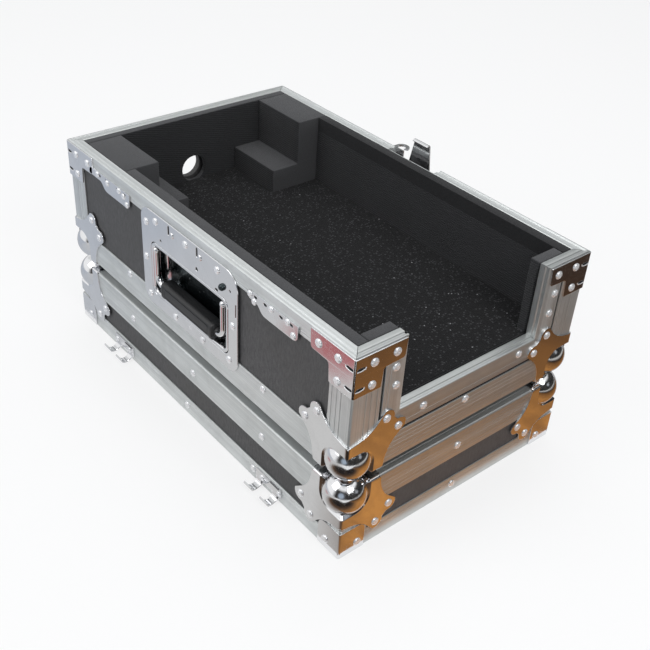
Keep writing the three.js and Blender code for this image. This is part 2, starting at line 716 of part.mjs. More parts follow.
// Sprung drop handle sunk in the left wall
function handle() {
  const face = -halfWidth;
  const pivotX = face + bailPivotInset;
  const pivotZ = recessTop - bailPivotDrop;
  const recessY = [handlePlace - recessWidth / 2, handlePlace + recessWidth / 2];
  const wallY = [recessY[0] - sheet, recessY[1] + sheet];
  const plateY = [handlePlace - handlePlateWidth / 2, handlePlace + handlePlateWidth / 2];

  const plate = plateAcrossX(
    roundedRectangle(plateY, [handlePlateBottom, handlePlateTop], handleCorner),
    [face - sheet, face],
  );
  const cup = block([face - sheet / 2, face + recessDepth + sheet], wallY, [recessBottom - sheet, recessTop + sheet]);
  const hollow = block([face - sheet - cutOverrun, face + recessDepth], recessY, [recessBottom, recessTop]);
  const pinHole = rod('y', [wallY[0] - cutOverrun, wallY[1] + cutOverrun], bailPin + seatGap, [pivotX, pivotZ], pinSides);
  const slots = slotPlaceShares.map((share) => {
    const middle = handlePlace - share * handlePlateWidth;
    const top = handlePlateTop - slotTopMargin;
    return block(
      [face - sheet - cutOverrun, face + cutOverrun],
      [middle - slotWidth / 2, middle + slotWidth / 2],
      [top - slotLength, top],
    );
  });
  addPart(box, 'handle_dish', cut(joined(plate, cup), hollow, pinHole, ...slots), 'chrome');

  const pinY = recessWidth / 2 + sheet + bailPinReach;
  const arm = bailArmOffset;
  const barZ = pivotZ - bailDrop;
  const at = (y, z) => new THREE.Vector3(pivotX, handlePlace + y, z);
  const route = new THREE.CurvePath();
  route.add(new THREE.LineCurve3(at(-arm, pivotZ), at(-arm, barZ + bailBend)));
  route.add(new THREE.QuadraticBezierCurve3(at(-arm, barZ + bailBend), at(-arm, barZ), at(bailBend - arm, barZ)));
  route.add(new THREE.LineCurve3(at(bailBend - arm, barZ), at(arm - bailBend, barZ)));
  route.add(new THREE.QuadraticBezierCurve3(at(arm - bailBend, barZ), at(arm, barZ), at(arm, barZ + bailBend)));
  route.add(new THREE.LineCurve3(at(arm, barZ + bailBend), at(arm, pivotZ)));
  const section = new THREE.Shape();
  section.absarc(0, 0, bailWire, 0, 2 * Math.PI);
  const wireSettings = { steps: wireSteps, curveSegments: wireFineness, extrudePath: route };
  const wire = new THREE.ExtrudeGeometry(section, wireSettings);
  const ends = [-1, 1].flatMap((side) => {
    const y = handlePlace + side * arm;
    const span = [y, handlePlace + side * pinY].sort((p, q) => p - q);
    const knuckle = new THREE.SphereGeometry(bailKnuckle, pinSides, coilSteps).translate(pivotX, y, pivotZ);
    return [knuckle, rod('y', span, bailPin, [pivotX, pivotZ], pinSides)];
  });
  addPart(box, 'handle_bail', joined(wire, ...ends), 'chrome');

  const bore = bailWire + seatGap;
  const half = gripLength / 2;
  const gripProfile = [
    [bore, -half],
    [gripRadius - gripEdge, -half],
    [gripRadius, gripEdge - half],
    [gripRadius, half - gripEdge],
    [gripRadius - gripEdge, half],
    [bore, half],
    [bore, -half],
  ].map(([r, y]) => new THREE.Vector2(r, y));
  const grip = new THREE.LatheGeometry(gripProfile, ballSteps).translate(pivotX, handlePlace, barZ);
  addPart(box, 'handle_grip', grip, 'grip');

  for (const [name, side] of [['front', -1], ['rear', 1]]) {
    const first = side * (recessWidth / 2 + sheet + springWire + seatGap);
    const coil = new THREE.Curve();
    coil.getPoint = (t) => {
      const angle = 2 * Math.PI * springTurns * t;
      const y = handlePlace + first + side * springPitch * springTurns * t;
      const x = pivotX + springRadius * Math.cos(angle);
      return new THREE.Vector3(x, y, pivotZ + springRadius * Math.sin(angle));
    };
    const coilSection = new THREE.Shape();
    coilSection.absarc(0, 0, springWire, 0, 2 * Math.PI);
    const settings = { steps: coilSteps * springTurns, curveSegments: coilFineness, extrudePath: coil };
    addPart(box, `handle_${name}_spring`, new THREE.ExtrudeGeometry(coilSection, settings), 'spring');
  }
}

// Keeper plates that the lid's hooks grip when the case is shut
function keepers() {
  for (const [name, side] of [['front', -1], ['rear', 1]]) {
    const middle = handlePlace + side * hookSpacing / 2;
    const rear = middle + keeperLength / 2;
    const front = middle - keeperLength / 2;
    const step = keeperBand - keeperTip;
    const shape = new THREE.Shape();
    shape.moveTo(front, keeperTip + step);
    shape.lineTo(front, keeperTop);
    shape.lineTo(rear - step, keeperTop);
    shape.absarc(rear - step, keeperTop - step, step, Math.PI / 2, 0, true);
    shape.lineTo(rear, keeperBand);
    shape.lineTo(rear - step, keeperBand);
    shape.bezierCurveTo(rear - 2 * step, keeperBand, rear - 2 * step, keeperTip, rear - 3 * step, keeperTip);
    shape.lineTo(front + 2 * keeperTipRadius, keeperTip);
    shape.quadraticCurveTo(front + keeperTipRadius, keeperTip, front, keeperTip + step);
    const plate = plateAcrossX(shape, [-halfWidth - sheet, -halfWidth]);
    addPart(box, `${name}_keeper_plate`, plate, 'chrome');
  }
}

// Twist latch sunk in the right wall
function latch() {
  const face = halfWidth;
  const plateY = [latchPlace - latchPlateWidth / 2, latchPlace + latchPlateWidth / 2];
  const recessY = [latchPlace - latchRecessWidth / 2, latchPlace + latchRecessWidth / 2];
  const recessZ = [latchRecessBottom, latchRecessTop];
  const floorX = face - latchRecessDepth;
  const plate = plateAcrossX(
    roundedRectangle(plateY, [latchPlateBottom, latchPlateTop], latchCorner),
    [face, face + sheet],
  );
  const cup = block(
    [floorX - sheet, face + sheet / 2],
    [recessY[0] - sheet, recessY[1] + sheet],
    [recessZ[0] - sheet, recessZ[1] + sheet],
  );
  const hollow = block([floorX, face + sheet + cutOverrun], recessY, recessZ);
  const hole = rod('x', [floorX - sheet - cutOverrun, face], spindleRadius + seatGap, [latchPlace, spindleHeight]);
  const eyeY = latchPlace + eyePlace;
  const ear = block([face, face + sheet], [eyeY - eyeRadius, eyeY + eyeRadius], [latchPlateTop - sheet, eyeTop]);
  const tab = new THREE.Shape();
  tab.moveTo(face, eyeY - eyeRadius);
  tab.absarc(face + sheet + eyeHole, eyeY, eyeRadius, -Math.PI / 2, Math.PI / 2);
  tab.lineTo(face, eyeY + eyeRadius);
  const tabSettings = { depth: sheet, bevelEnabled: false, curveSegments: flapFineness };
  const tabPlate = new THREE.ExtrudeGeometry(tab, tabSettings).translate(0, 0, eyeTop - sheet);
  const tabZ = [eyeTop - sheet - cutOverrun, eyeTop + cutOverrun];
  const eye = cut(tabPlate, rod('z', tabZ, eyeHole, [face + sheet + eyeHole, eyeY], pinSides));
  addPart(box, 'latch_dish', joined(cut(joined(plate, cup), hollow, hole), ear, eye), 'chrome');

  const out = face + latchHookOut;
  const low = face - latchHookInner;
  const rollX = out + sheet - latchRollRadius;
  const rollZ = latchHookTop - latchRollRadius;
  const hookSection = new THREE.Shape();
  hookSection.moveTo(low, latchHookBottom);
  hookSection.lineTo(low + sheet, latchHookBottom);
  hookSection.lineTo(low + sheet, latchHookJoint - sheet);
  hookSection.lineTo(out + sheet, latchHookJoint + latchHookInner);
  hookSection.lineTo(out + sheet, rollZ);
  hookSection.absarc(rollX, rollZ, latchRollRadius, 0, Math.PI);
  hookSection.lineTo(rollX - latchRollRadius + sheet, rollZ);
  hookSection.absarc(rollX, rollZ, latchRollRadius - sheet, Math.PI, 0, true);
  hookSection.lineTo(out, latchHookJoint + latchHookInner + sheet);
  hookSection.lineTo(low, latchHookJoint);
  const hookY = [latchPlace - latchHookWidth / 2, latchPlace + latchHookWidth / 2];
  const slotHalf = spindleRadius + seatGap;
  const slot = block(
    [low - cutOverrun, low + sheet + cutOverrun],
    [latchPlace - slotHalf, latchPlace + slotHalf],
    [spindleHeight - slotHalf, spindleHeight + slotHalf + latchTravel],
  );
  addPart(box, 'latch_hook', cut(plateAcrossY(hookSection, hookY), slot), 'chrome');

  const spindleEnd = face - spindleFaceOut;
  const shaft = rod('x', [floorX - sheet, spindleEnd], spindleRadius, [latchPlace, spindleHeight]);
  const cam = rod('x', [floorX + seatGap, floorX + seatGap + camThickness], camRadius, [latchPlace, spindleHeight]);
  addPart(box, 'latch_spindle', joined(shaft, cam), 'chrome');

  for (const [name, side] of [['front', -1], ['rear', 1]]) {
    const inner = latchPlace + side * wingHingeOffset;
    const bulge = inner + side * wingSpan / cubicReachShare;
    const [bottom, top] = [spindleHeight - wingHeight / 2, spindleHeight + wingHeight / 2];
    const shape = new THREE.Shape();
    shape.moveTo(inner, bottom);
    shape.bezierCurveTo(bulge, bottom, bulge, top, inner, top);
    const flapX = [spindleEnd + seatGap, spindleEnd + seatGap + wingThickness];
    const flap = plateAcrossX(shape, flapX, flapFineness);
    addPart(box, `latch_${name}_wing`, flap, 'chrome');
  }
}

// Lid: boards, trim, rim and lining
function lidShell() {
  const innerX = [-halfWidth + boardInner, halfWidth - boardInner];
  const innerY = [-halfLength + boardInner, halfLength - boardInner];
  const fullY = [-halfLength + sheet, halfLength - sheet];
  const wallZ = [boardSlotTop, lidHeight - sheet];
  addPart(lid, 'lid_top_board', block(innerX, innerY, [lidHeight - boardInner, lidHeight - sheet]), 'board');
  const leftBoard = block([-halfWidth + sheet, -halfWidth + boardInner], fullY, wallZ);
  addPart(lid, 'lid_left_board', cut(leftBoard, cornerCutLid[0], cornerCutLid[3]), 'board');
  const rightBoard = block([halfWidth - boardInner, halfWidth - sheet], fullY, wallZ);
  addPart(lid, 'lid_right_board', cut(rightBoard, cornerCutLid[1], cornerCutLid[2]), 'board');
  addPart(lid, 'lid_front_board', block(innerX, [-halfLength + sheet, -halfLength + boardInner], wallZ), 'board');
  addPart(lid, 'lid_rear_board', block(innerX, [halfLength - boardInner, halfLength - sheet], wallZ), 'board');

  const ring = mitredRing(angleProfile(angleLeg), (v) => lidHeight - v);
  const profile = angleProfile(angleLeg);
  const posts = cornerSigns.map(([sx, sy]) => {
    const section = (z) => profile.map(([u, v]) => [sx * (halfWidth - u), sy * (halfLength - v), z]);
    return loft([section(lidRimFlange), section(lidHeight - angleLeg + cutOverrun)], profile, false);
  });
  addPart(lid, 'lid_edge_trim', cut(joined(ring, ...posts), ...cornerCutLid), 'aluminium');
  addPart(lid, 'lid_rim', mitredRing(rimProfile(lidRimFlange), (v) => v), 'aluminium');

  const liningX = halfWidth - foamInset - seatGap;
  const liningY = halfLength - foamInset - seatGap;
  const liningTop = lidHeight - boardInner - seatGap;
  const lining = block([-liningX, liningX], [-liningY, liningY], [liningTop - lidFoam, liningTop]);
  addPart(lid, 'lid_foam_lining', lining, 'foam');
}

// Lid hooks on the left and the latch's catch on the right
function lidHardware() {
  for (const [name, side] of [['front', -1], ['rear', 1]]) {
    const middle = handlePlace + side * hookSpacing / 2;
    const face = -halfWidth;
    const plate = block(
      [face - sheet, face],
      [middle - hookPlateWidth / 2, middle + hookPlateWidth / 2],
      [prongFoot, prongFoot + hookPlateHeight],
    );
    const lip = block(
      [face - hookLip - sheet, face - sheet / 2],
      [middle - hookPlateWidth / 2, middle + hookPlateWidth / 2],
      [prongFoot + hookPlateHeight - sheet, prongFoot + hookPlateHeight],
    );
    const [firstBend, secondBend] = prongBendShares.map((share) => face - prongReach * share);
    const lift = prongFoot + prongHeight * prongLiftShare;
    const curl = outlineOf([
      [face - sheet / 2, prongFoot],
      [firstBend, prongFoot],
      [secondBend, lift],
      [face - prongReach, prongFoot + prongHeight],
      [face - prongReach + sheet, prongFoot + prongHeight],
      [secondBend + sheet, lift + sheet],
      [firstBend, prongFoot + sheet],
      [face - sheet / 2, prongFoot + sheet],
    ]);
    const reach = hookPlateWidth / 2;
    const prongs = [-1, 1].map((end) => {
      const y = [middle + end * reach, middle + end * (reach - prongWidth)].sort((p, q) => p - q);
      return plateAcrossY(curl, y);
    });
    addPart(lid, `${name}_lid_hook`, joined(plate, lip, ...prongs), 'chrome');
  }

  const face = halfWidth;
  const plate = block(
    [face, face + sheet],
    [latchPlace - catchWidth / 2, latchPlace + catchWidth / 2],
    [catchBottom, catchBottom + catchHeight],
  );
  const lip = block(
    [face + sheet / 2, face + sheet + catchLip],
    [latchPlace - catchLipWidth / 2, latchPlace + catchLipWidth / 2],
    [catchBottom + catchHeight / 2, catchBottom + catchHeight / 2 + sheet],
  );
  addPart(lid, 'lid_latch_catch', joined(plate, lip), 'chrome');
}

lidShell();
lidHardware();
boxBoards();
boxTrim();
boxRim();
cornerHardware();
boxFoam();
handle();
keepers();
latch();

export default flightCase;
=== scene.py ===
import math

import bmesh
import bpy
from mathutils import Matrix, Vector, noise


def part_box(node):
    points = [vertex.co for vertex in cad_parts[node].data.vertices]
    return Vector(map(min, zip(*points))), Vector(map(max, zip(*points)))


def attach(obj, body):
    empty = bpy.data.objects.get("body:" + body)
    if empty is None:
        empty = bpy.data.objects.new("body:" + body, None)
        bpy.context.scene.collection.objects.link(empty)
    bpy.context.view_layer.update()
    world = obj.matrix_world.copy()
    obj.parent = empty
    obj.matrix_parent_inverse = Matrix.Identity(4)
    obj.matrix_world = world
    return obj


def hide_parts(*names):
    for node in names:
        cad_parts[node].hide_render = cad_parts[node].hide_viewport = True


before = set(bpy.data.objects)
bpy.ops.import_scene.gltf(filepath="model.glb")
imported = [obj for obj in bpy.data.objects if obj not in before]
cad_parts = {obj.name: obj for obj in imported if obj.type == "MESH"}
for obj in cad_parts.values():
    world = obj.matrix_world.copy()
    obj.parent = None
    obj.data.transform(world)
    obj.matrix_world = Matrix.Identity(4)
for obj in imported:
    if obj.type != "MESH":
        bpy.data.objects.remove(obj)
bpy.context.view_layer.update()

LID, BOX, BAIL, HOOK = "case_lid", "main_box", "carry_bail", "latch_hook_slide"
MM = 0.001


def low(node):
    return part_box(node)[0] / MM


def high(node):
    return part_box(node)[1] / MM


# Places of the case in millimetres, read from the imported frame
HALF_X, HALF_Y = high("box_bottom_trim").x, high("box_bottom_trim").y
BASE, TOP = low("box_bottom_trim").z, high("box_left_rim").z
LID_TOP = high("lid_edge_trim").z
LEG = high("box_bottom_trim").z - BASE
RIM_FLANGE = TOP - low("box_left_rim").z
LID_FLANGE = high("lid_rim").z
LATCH_Y = (low("latch_dish").y + high("latch_dish").y) / 2
CORNERS = {"front_left": (-1, -1), "front_right": (1, -1), "rear_right": (1, 1), "rear_left": (-1, 1)}

# The front's cut-out: half its width, the height of its sill and the flange round it
OPENING, SILL, DOOR_FLANGE = 85, BASE + 55.5, 21.3

# The sheet that the hardware is pressed from, and the outer faces of what is riveted on
SHEET = 1.5
LEFT_FACE, RIGHT_FACE, REAR_FACE = -HALF_X - SHEET, HALF_X + SHEET, HALF_Y + SHEET

# Extrusions: how far the ribs lie along each leg, their legs and ends, the rim's lip and groove, and its slot
# for the board with the tongue inside it
RIB_SHARES, SIDE_RIB_SHARES = (0.22, 0.37, 0.52, 0.67, 0.82), (0.4, 0.72)
POST_RIB_SHARES, RIM_RIB_SHARES = (0.47, 0.65, 0.86), (0.72, 0.86)
SIDE_LEG, BALL_CLEARANCE, MITRE_GAP = 28.5, 31.0, 0.3
LIP, GROOVE, GROOVE_DEPTH, RIM_WIDTH = 2.2, 3.2, 1.0, 11.6
SLOT_TOP, BOARD_FACE, TONGUE_FOOT = 7, 8.5, 12

# Ball corners: the ball, the fold between the wings, the crease above the ball, the ledge beside it, and
# where a wing's lobe and rivets lie
BALL, BALL_INSET, BALL_SHEET = 20.0, 14.1, 1.6
FOLD, FOLD_LENGTH = 2.6, 41.0
CREASE, CREASE_INSET, LEDGE = 17.0, 13.0, 0.9
WING_LOBE, LOBE_RADIUS = (54.5, 40), 8.2
WING_RIVETS = ((54.0, 39.5), (39.5, 54.0))

# Corner plates, from the bend outward and from their top down: outlines (place, height, rounding) and rivets
BEND = 2.0
HALF_ARC = math.pi * BEND / 4
BRACE_ARM = ((28, -38.5, 1.5), (29.5, -19.5, 3.0), (52, -18.5, 3.0), (53, 0, 0.8))
BRACE_RIVETS = ((42.4, -9.5), (18.5, -9.5), (18, -31.5))
BRACE_SLITS, SLIT_LENGTH, SLIT_WIDTH = (-10.6, -30.6), 8.0, 2.5
LID_BRACE_TOP, LID_BRACE_LEG = 31, ((28, -30, 0.8), (28, 0, 8.0))
LID_BRACE_RIVETS = ((17.5, 11.5), (19.5, 11))

# Handle: the plate's recess, and its slits, holes and rivets as (y, height above the box's base)
RECESS_Y, RECESS_Z = (-59.0, 62.5), (BASE + 35.5, BASE + 87)
HANDLE_SLITS = ((33.3, 116.5, 1.2, 5, 1.1, 3), (-14.3, 117, 1.2, 5, 1.1, 3))
HANDLE_HOLES = ((-13.3, 98.9, 1.9), (48.6, 98.2, 1.5), (-66.0, 103.5, 1.3))
HANDLE_NOTCHES = ((-45.2, 94.0, 2.2, 1.4, 1.2, 3), (-75.0, 87.0, 0.5, 7, 0.45, 2))
HANDLE_RIVETS = ((73.4, 107.8), (56.1, 115.4), (4.7, 115.6), (-46.7, 115.2), (76.2, 67.9), (71.5, 27.1),
                 (25.6, 23.8), (-21.4, 24.4), (-70.2, 69.0), (-64.7, 28.2))
HANDLE_STUDS, WIRE_STUD = ((27.5, 113.6), (-19.2, 113.6)), (-54.5, 102.0)
PIVOT_X, PIVOT_Z, BAR_DROP = -HALF_X + 4, BASE + 80, 36
ARM_Y, GRIP_Y = (-51.5, 61.5), (-40.0, 48.0)
WIRE, WIRE_BEND, PIN = 3.3, 10, 2.2

# Keepers on the left rim, with rivets as (y, height above the box's base), and the lid's hooks below them
KEEPER_RIVETS = {"rear": ((147.1, 116.3), (124.1, 117.9), (115.2, 115.6), (109.6, 108.6), (166.5, 118.0)),
                 "front": ((-95.9, 117.9), (-101.9, 112.7), (-125.5, 118.2), (-147.8, 118.4),
                           (-155.6, 109.4))}
KEEPER_HOLE_SHARES, KEEPER_BAND, KEEPER_OVERREACH = (0.14, 0.34, 0.66, 0.86), 9, {"front": 0, "rear": 12}
LID_HOOK_RIVETS, LID_HOOK_FOOT = {"front": (-118.7, -145.2), "rear": (151.9, 126.6)}, 4.6

# Rivets of the trim: on the front round the cut-out, on the rear, along the sides and on the lid, which
# stands on its open edge
FRONT_RIVETS = ((-95.3, 104.3), (-93.2, 85), (99.8, 100.5), (97.9, 79.4), (-56.4, 45.7), (64.6, 47.0),
                (-1.6, 26.5))
REAR_RIVETS, SIDE_RIVETS, RIVET_LIFT, LID_RIM_LIFT = (-70, 0, 70), (-115, 0, 115), 26, 11
LID_SIDE_DROP, LID_END_DROP, LID_END_SHIFT, HOOK_SIDE_SHIFT = 18, 17.5, -0.9, 12

# Rivet heads: radius and height
TRIM_RIVET, HANDLE_RIVET, SMALL_RIVET = (4.0, 1.6), (3.9, 1.6), (3.3, 1.4)
LATCH_RIVET, CATCH_RIVET = (3.6, 1.5), (3.2, 1.3)

# Foam's top, pressed out against the rim: how far it goes, and how far in and below the rim it starts to
RIM_GAP, RIM_REACH, RIM_DEPTH = 2.4, 16.5, 8

# The latch hook's waist below the rim, and how much narrower its two edges get from there to its top
HOOK_WAIST, HOOK_TAPER = 12, {"front": 3.4, "rear": 6.3}


# Camera

def photo_camera():
    """The camera of the photograph, fitted to points of the case."""
    data = bpy.data.cameras.new("photo_camera")
    data.sensor_width, data.lens = 36, 53.67
    camera = bpy.data.objects.new("photo_camera", data)
    bpy.context.collection.objects.link(camera)
    place = Vector((-542.5, -646.5, 660.9)) * MM
    right = Vector((0.7729, -0.6322, 0.0551)).normalized()
    forward = Vector((0.541, 0.611, -0.5779)).normalized()
    forward = (forward - right * forward.dot(right)).normalized()
    turn = Matrix((right, right.cross(forward), -forward)).transposed().to_4x4()
    camera.matrix_world = Matrix.Translation(place) @ turn
    bpy.context.scene.camera = camera


# Shader wiring

class Wiring:
    """Adds shader nodes to a tree; a value is a plain one or another node's output."""

    def __init__(self, tree, place=None):
        self.tree, self.place = tree, place

    def feed(self, socket, value):
        if isinstance(value, bpy.types.NodeSocket):
            self.tree.links.new(value, socket)
        else:
            socket.default_value = value

    def add(self, kind, values=None, **settings):
        node = self.tree.nodes.new("ShaderNode" + kind)
        for key, value in settings.items():
            setattr(node, key, value)
        for key, value in (values or {}).items():
            self.feed(node.inputs[key], value)
        return node

    def math(self, operation, *values):
        return self.add("Math", dict(enumerate(values)), operation=operation).outputs[0]

    def times(self, first, second):
        return self.math("MULTIPLY", first, second)

    def plus(self, first, second):
        return self.math("ADD", first, second)

    def vector(self, operation, *values):
        return self.add("VectorMath", dict(enumerate(values)), operation=operation).outputs

    def along(self, axis):
        return self.vector("DOT_PRODUCT", self.place, axis)["Value"]

    def spot(self, centre, inner, outer):
        """1 within the inner radius of a centre, fading to 0 at the outer one."""
        return self.ramp(self.vector("DISTANCE", self.place, centre)["Value"], inner, outer, 1.0, 0.0)

    def ramp(self, value, start, end, to_start=0.0, to_end=1.0):
        values = {"Value": value, "From Min": start, "From Max": end, "To Min": to_start, "To Max": to_end}
        return self.add("MapRange", values).outputs[0]

    def clouds(self, place, scale, detail, **more):
        values = {"Vector": place, "Scale": scale, "Detail": detail, **more}
        return self.add("TexNoise", values).outputs["Fac"]

    def mix(self, share, *colours):
        first, second = (c if isinstance(c, bpy.types.NodeSocket) else (*c, 1) for c in colours)
        return self.add("Mix", {0: share, 6: first, 7: second}, data_type="RGBA").outputs[2]

    def bump(self, height, distance, strength):
        return self.add("Bump", {"Height": height, "Distance": distance, "Strength": strength}).outputs[0]

    def effect(self, group, **values):
        """Places a node group over the surface, with its inputs by name; returns its outputs."""
        values = {key.title(): value for key, value in values.items()}
        return self.add("Group", {"Place": self.place, **values}, node_tree=group).outputs


def effect_group(name, inputs, outputs):
    """A node group with the input Place and others by name; returns its wiring, inputs and outputs."""
    tree = bpy.data.node_groups.new(name, "ShaderNodeTree")
    for socket_name, default in {"Place": (0, 0, 0), **inputs}.items():
        kind = "NodeSocketFloat" if isinstance(default, float) else "NodeSocketVector"
        socket = tree.interface.new_socket(name=socket_name, in_out="INPUT", socket_type=kind)
        socket.default_value = default
    for socket_name in outputs:
        tree.interface.new_socket(name=socket_name, in_out="OUTPUT", socket_type="NodeSocketFloat")
    given = tree.nodes.new("NodeGroupInput").outputs
    return Wiring(tree, given["Place"]), given, tree.nodes.new("NodeGroupOutput").inputs


def drawn_lines():
    w, given, out = effect_group("drawn_lines", {"Stretch": (1, 1, 1)}, ["Lines", "Bands"])
    place = w.vector("MULTIPLY", w.place, given["Stretch"])[0]
    w.feed(out["Lines"], w.ramp(w.clouds(place, 1.0, 4.0, Roughness=0.65), 0.3, 0.7))
    w.feed(out["Bands"], w.ramp(w.clouds(place, 0.22, 1.0), 0.35, 0.65))
    return w.tree


def smudges():
    w, given, out = effect_group("smudges", {"Fineness": 30.0}, ["Mask"])
    cloud = w.clouds(w.place, given["Fineness"], 6.0, Roughness=0.62, Distortion=0.6)
    w.feed(out["Mask"], w.ramp(cloud, 0.42, 0.72))
    return w.tree


def scratches():
    w, given, out = effect_group("scratches", {"Fineness": 60.0}, ["Mask"])
    masks = []
    for stretch in ((1.0, 1.0, 14.0), (1.0, 12.0, 2.0), (9.0, 1.0, 1.0)):
        place = w.vector("MULTIPLY", w.place, stretch)[0]
        cloud = w.clouds(place, given["Fineness"], 1.0, Distortion=0.3)
        masks.append(w.ramp(w.math("ABSOLUTE", w.math("SUBTRACT", cloud, 0.5)), 0.0, 0.006, 1.0, 0.0))
    w.feed(out["Mask"], w.math("MAXIMUM", w.math("MAXIMUM", masks[0], masks[1]), masks[2]))
    return w.tree


def fine_grain():
    w, given, out = effect_group("fine_grain", {"Fineness": 900.0}, ["Grain", "Patches"])
    w.feed(out["Grain"], w.ramp(w.clouds(w.place, given["Fineness"], 3.0, Roughness=0.7), 0.3, 0.7))
    w.feed(out["Patches"], w.ramp(w.clouds(w.place, 18.0, 3.0), 0.35, 0.65))
    return w.tree


def cut_ribbing():
    w, given, out = effect_group("cut_ribbing", {"Across": (0, 0, 1), "Pitch": 0.0023}, ["Ribs"])
    turns = w.math("DIVIDE", w.along(given["Across"]), given["Pitch"])
    turns = w.plus(turns, w.times(w.clouds(w.place, 60.0, 2.0), 0.5))
    w.feed(out["Ribs"], w.ramp(w.math("SINE", w.times(turns, 2 * math.pi)), -1.0, 1.0))
    return w.tree


def pale_specks():
    w, given, out = effect_group("pale_specks", {"Fineness": 500.0, "Share": 0.1, "Size": 0.2}, ["Mask"])
    cells = w.add("TexVoronoi", {"Vector": w.place, "Scale": given["Fineness"], "Randomness": 1.0}).outputs
    draw = w.add("SeparateColor", {"Color": cells["Color"]}).outputs[0]
    near = w.math("LESS_THAN", cells["Distance"], given["Size"])
    w.feed(out["Mask"], w.times(w.math("LESS_THAN", draw, given["Share"]), near))
    return w.tree


DRAWN_LINES, SMUDGES, SCRATCHES = drawn_lines(), smudges(), scratches()
GRAIN, RIBBING, SPECKS = fine_grain(), cut_ribbing(), pale_specks()


# Finishes

def cleared(owner):
    """The wiring of a material or world, without the nodes that it starts with."""
    owner.use_nodes = True
    owner.node_tree.nodes.clear()
    return Wiring(owner.node_tree)


def surface(name):
    """A new material and its wiring over the object's own coordinates."""
    material = bpy.data.materials.new(name)
    w = cleared(material)
    w.place = w.add("TexCoord").outputs["Object"]
    return material, w


def finished(material, w, **values):
    """Gives the material a Principled shader with these values, their names written with _ for a space."""
    shader = w.add("BsdfPrincipled", {key.replace("_", " "): value for key, value in values.items()})
    w.add("OutputMaterial", {"Surface": shader.outputs[0]})
    return material


def extruded_aluminium(run, metallic, dull=(0.53, 0.55, 0.55), bright=(0.75, 0.77, 0.765)):
    """Satin drawn aluminium whose fine lines run along one axis of the case."""
    material, w = surface("extruded_aluminium_along_" + run)
    lines = w.effect(DRAWN_LINES, stretch=[4.0 if axis == run else 1000.0 for axis in "xyz"])
    smudge = w.effect(SMUDGES, fineness=24.0)["Mask"]
    tone = w.plus(w.times(lines["Lines"], 0.6), w.times(lines["Bands"], 0.4))
    colour = w.mix(w.times(smudge, 0.35), w.mix(tone, dull, bright), (0.40, 0.41, 0.40))
    rough = w.plus(w.ramp(lines["Bands"], 0, 1, 0.32, 0.44), w.times(smudge, 0.1))
    return finished(material, w, Base_Color=colour, Metallic=metallic, Roughness=rough,
                    Specular_IOR_Level=0.3, Normal=w.bump(lines["Lines"], 0.00012, 0.35))


def bright_chrome(name, colour=(0.80, 0.805, 0.82), rough=0.07, worn=0.12, metallic=1.0):
    material, w = surface(name)
    smudge = w.effect(SMUDGES, fineness=45.0)["Mask"]
    scratch = w.effect(SCRATCHES, fineness=38.0)["Mask"]
    tone = w.mix(w.times(smudge, 0.3), colour, [c * 0.8 for c in colour])
    roughness = w.plus(w.ramp(smudge, 0, 1, rough, rough + worn), w.times(scratch, 0.12))
    height = w.math("SUBTRACT", w.times(smudge, 0.25), w.times(scratch, 0.5))
    return finished(material, w, Base_Color=tone, Metallic=metallic, Roughness=roughness,
                    Normal=w.bump(height, 0.00004, 0.4))


def grey_laminate():
    material, w = surface("grey_laminate")
    grain = w.effect(GRAIN, fineness=600.0)
    fibre = w.effect(DRAWN_LINES, stretch=(500.0, 500.0, 160.0))["Lines"]
    tone = w.plus(w.times(grain["Grain"], 0.5), w.times(fibre, 0.5))
    colour = w.mix(tone, (0.026, 0.026, 0.028), (0.112, 0.110, 0.112))
    colour = w.mix(w.times(grain["Patches"], 0.35), colour, (0.058, 0.056, 0.054))
    return finished(material, w, Base_Color=colour, Roughness=w.ramp(grain["Grain"], 0, 1, 0.48, 0.62),
                    Specular_IOR_Level=0.4, Normal=w.bump(tone, 0.00015, 0.5))


def foam(name, dark, light, across=None, depth=0.0004):
    """Cut foam: a fine open surface, with shallow ribs where a direction across them is given."""
    material, w = surface(name)
    grain = w.effect(GRAIN, fineness=1300.0)
    tone, height = grain["Grain"], w.times(grain["Grain"], 0.4)
    if across:
        ribs = w.effect(RIBBING, across=across, pitch=0.0024)["Ribs"]
        # The ribs go into the colour as well: painted shade in their troughs and painted light on their
        # crests.
        tone, height = w.plus(w.times(tone, 0.5), w.times(ribs, 0.5)), w.plus(height, ribs)
    colour = w.mix(w.times(grain["Patches"], 0.3), w.mix(tone, dark, light), dark)
    return finished(material, w, Base_Color=colour, Roughness=0.95, Specular_IOR_Level=0.15,
                    Sheen_Weight=0.12, Sheen_Roughness=0.6, Normal=w.bump(height, depth, 0.9))


def speckled_mat():
    material, w = surface("speckled_black_mat")
    grain = w.effect(GRAIN, fineness=900.0)["Grain"]
    fine = w.effect(SPECKS, fineness=360.0, share=0.40, size=0.36)["Mask"]
    bright = w.effect(SPECKS, fineness=400.0, share=0.007, size=0.24)["Mask"]
    colour = w.mix(grain, (0.0022, 0.0022, 0.0026), (0.008, 0.008, 0.009))
    colour = w.mix(w.times(fine, 0.7), colour, (0.058, 0.058, 0.062))
    colour = w.mix(bright, colour, (0.42, 0.42, 0.44))
    return finished(material, w, Base_Color=colour, Roughness=0.9, Specular_IOR_Level=0.2,
                    Sheen_Weight=0.05, Normal=w.bump(grain, 0.0005, 0.9))


def grip_moulding():
    material, w = surface("grip_moulding")
    grain = w.effect(GRAIN, fineness=700.0)["Grain"]
    colour = w.mix(grain, (0.010, 0.010, 0.011), (0.020, 0.020, 0.021))
    return finished(material, w, Base_Color=colour, Roughness=w.ramp(grain, 0, 1, 0.34, 0.46),
                    Normal=w.bump(grain, 0.00008, 0.4))


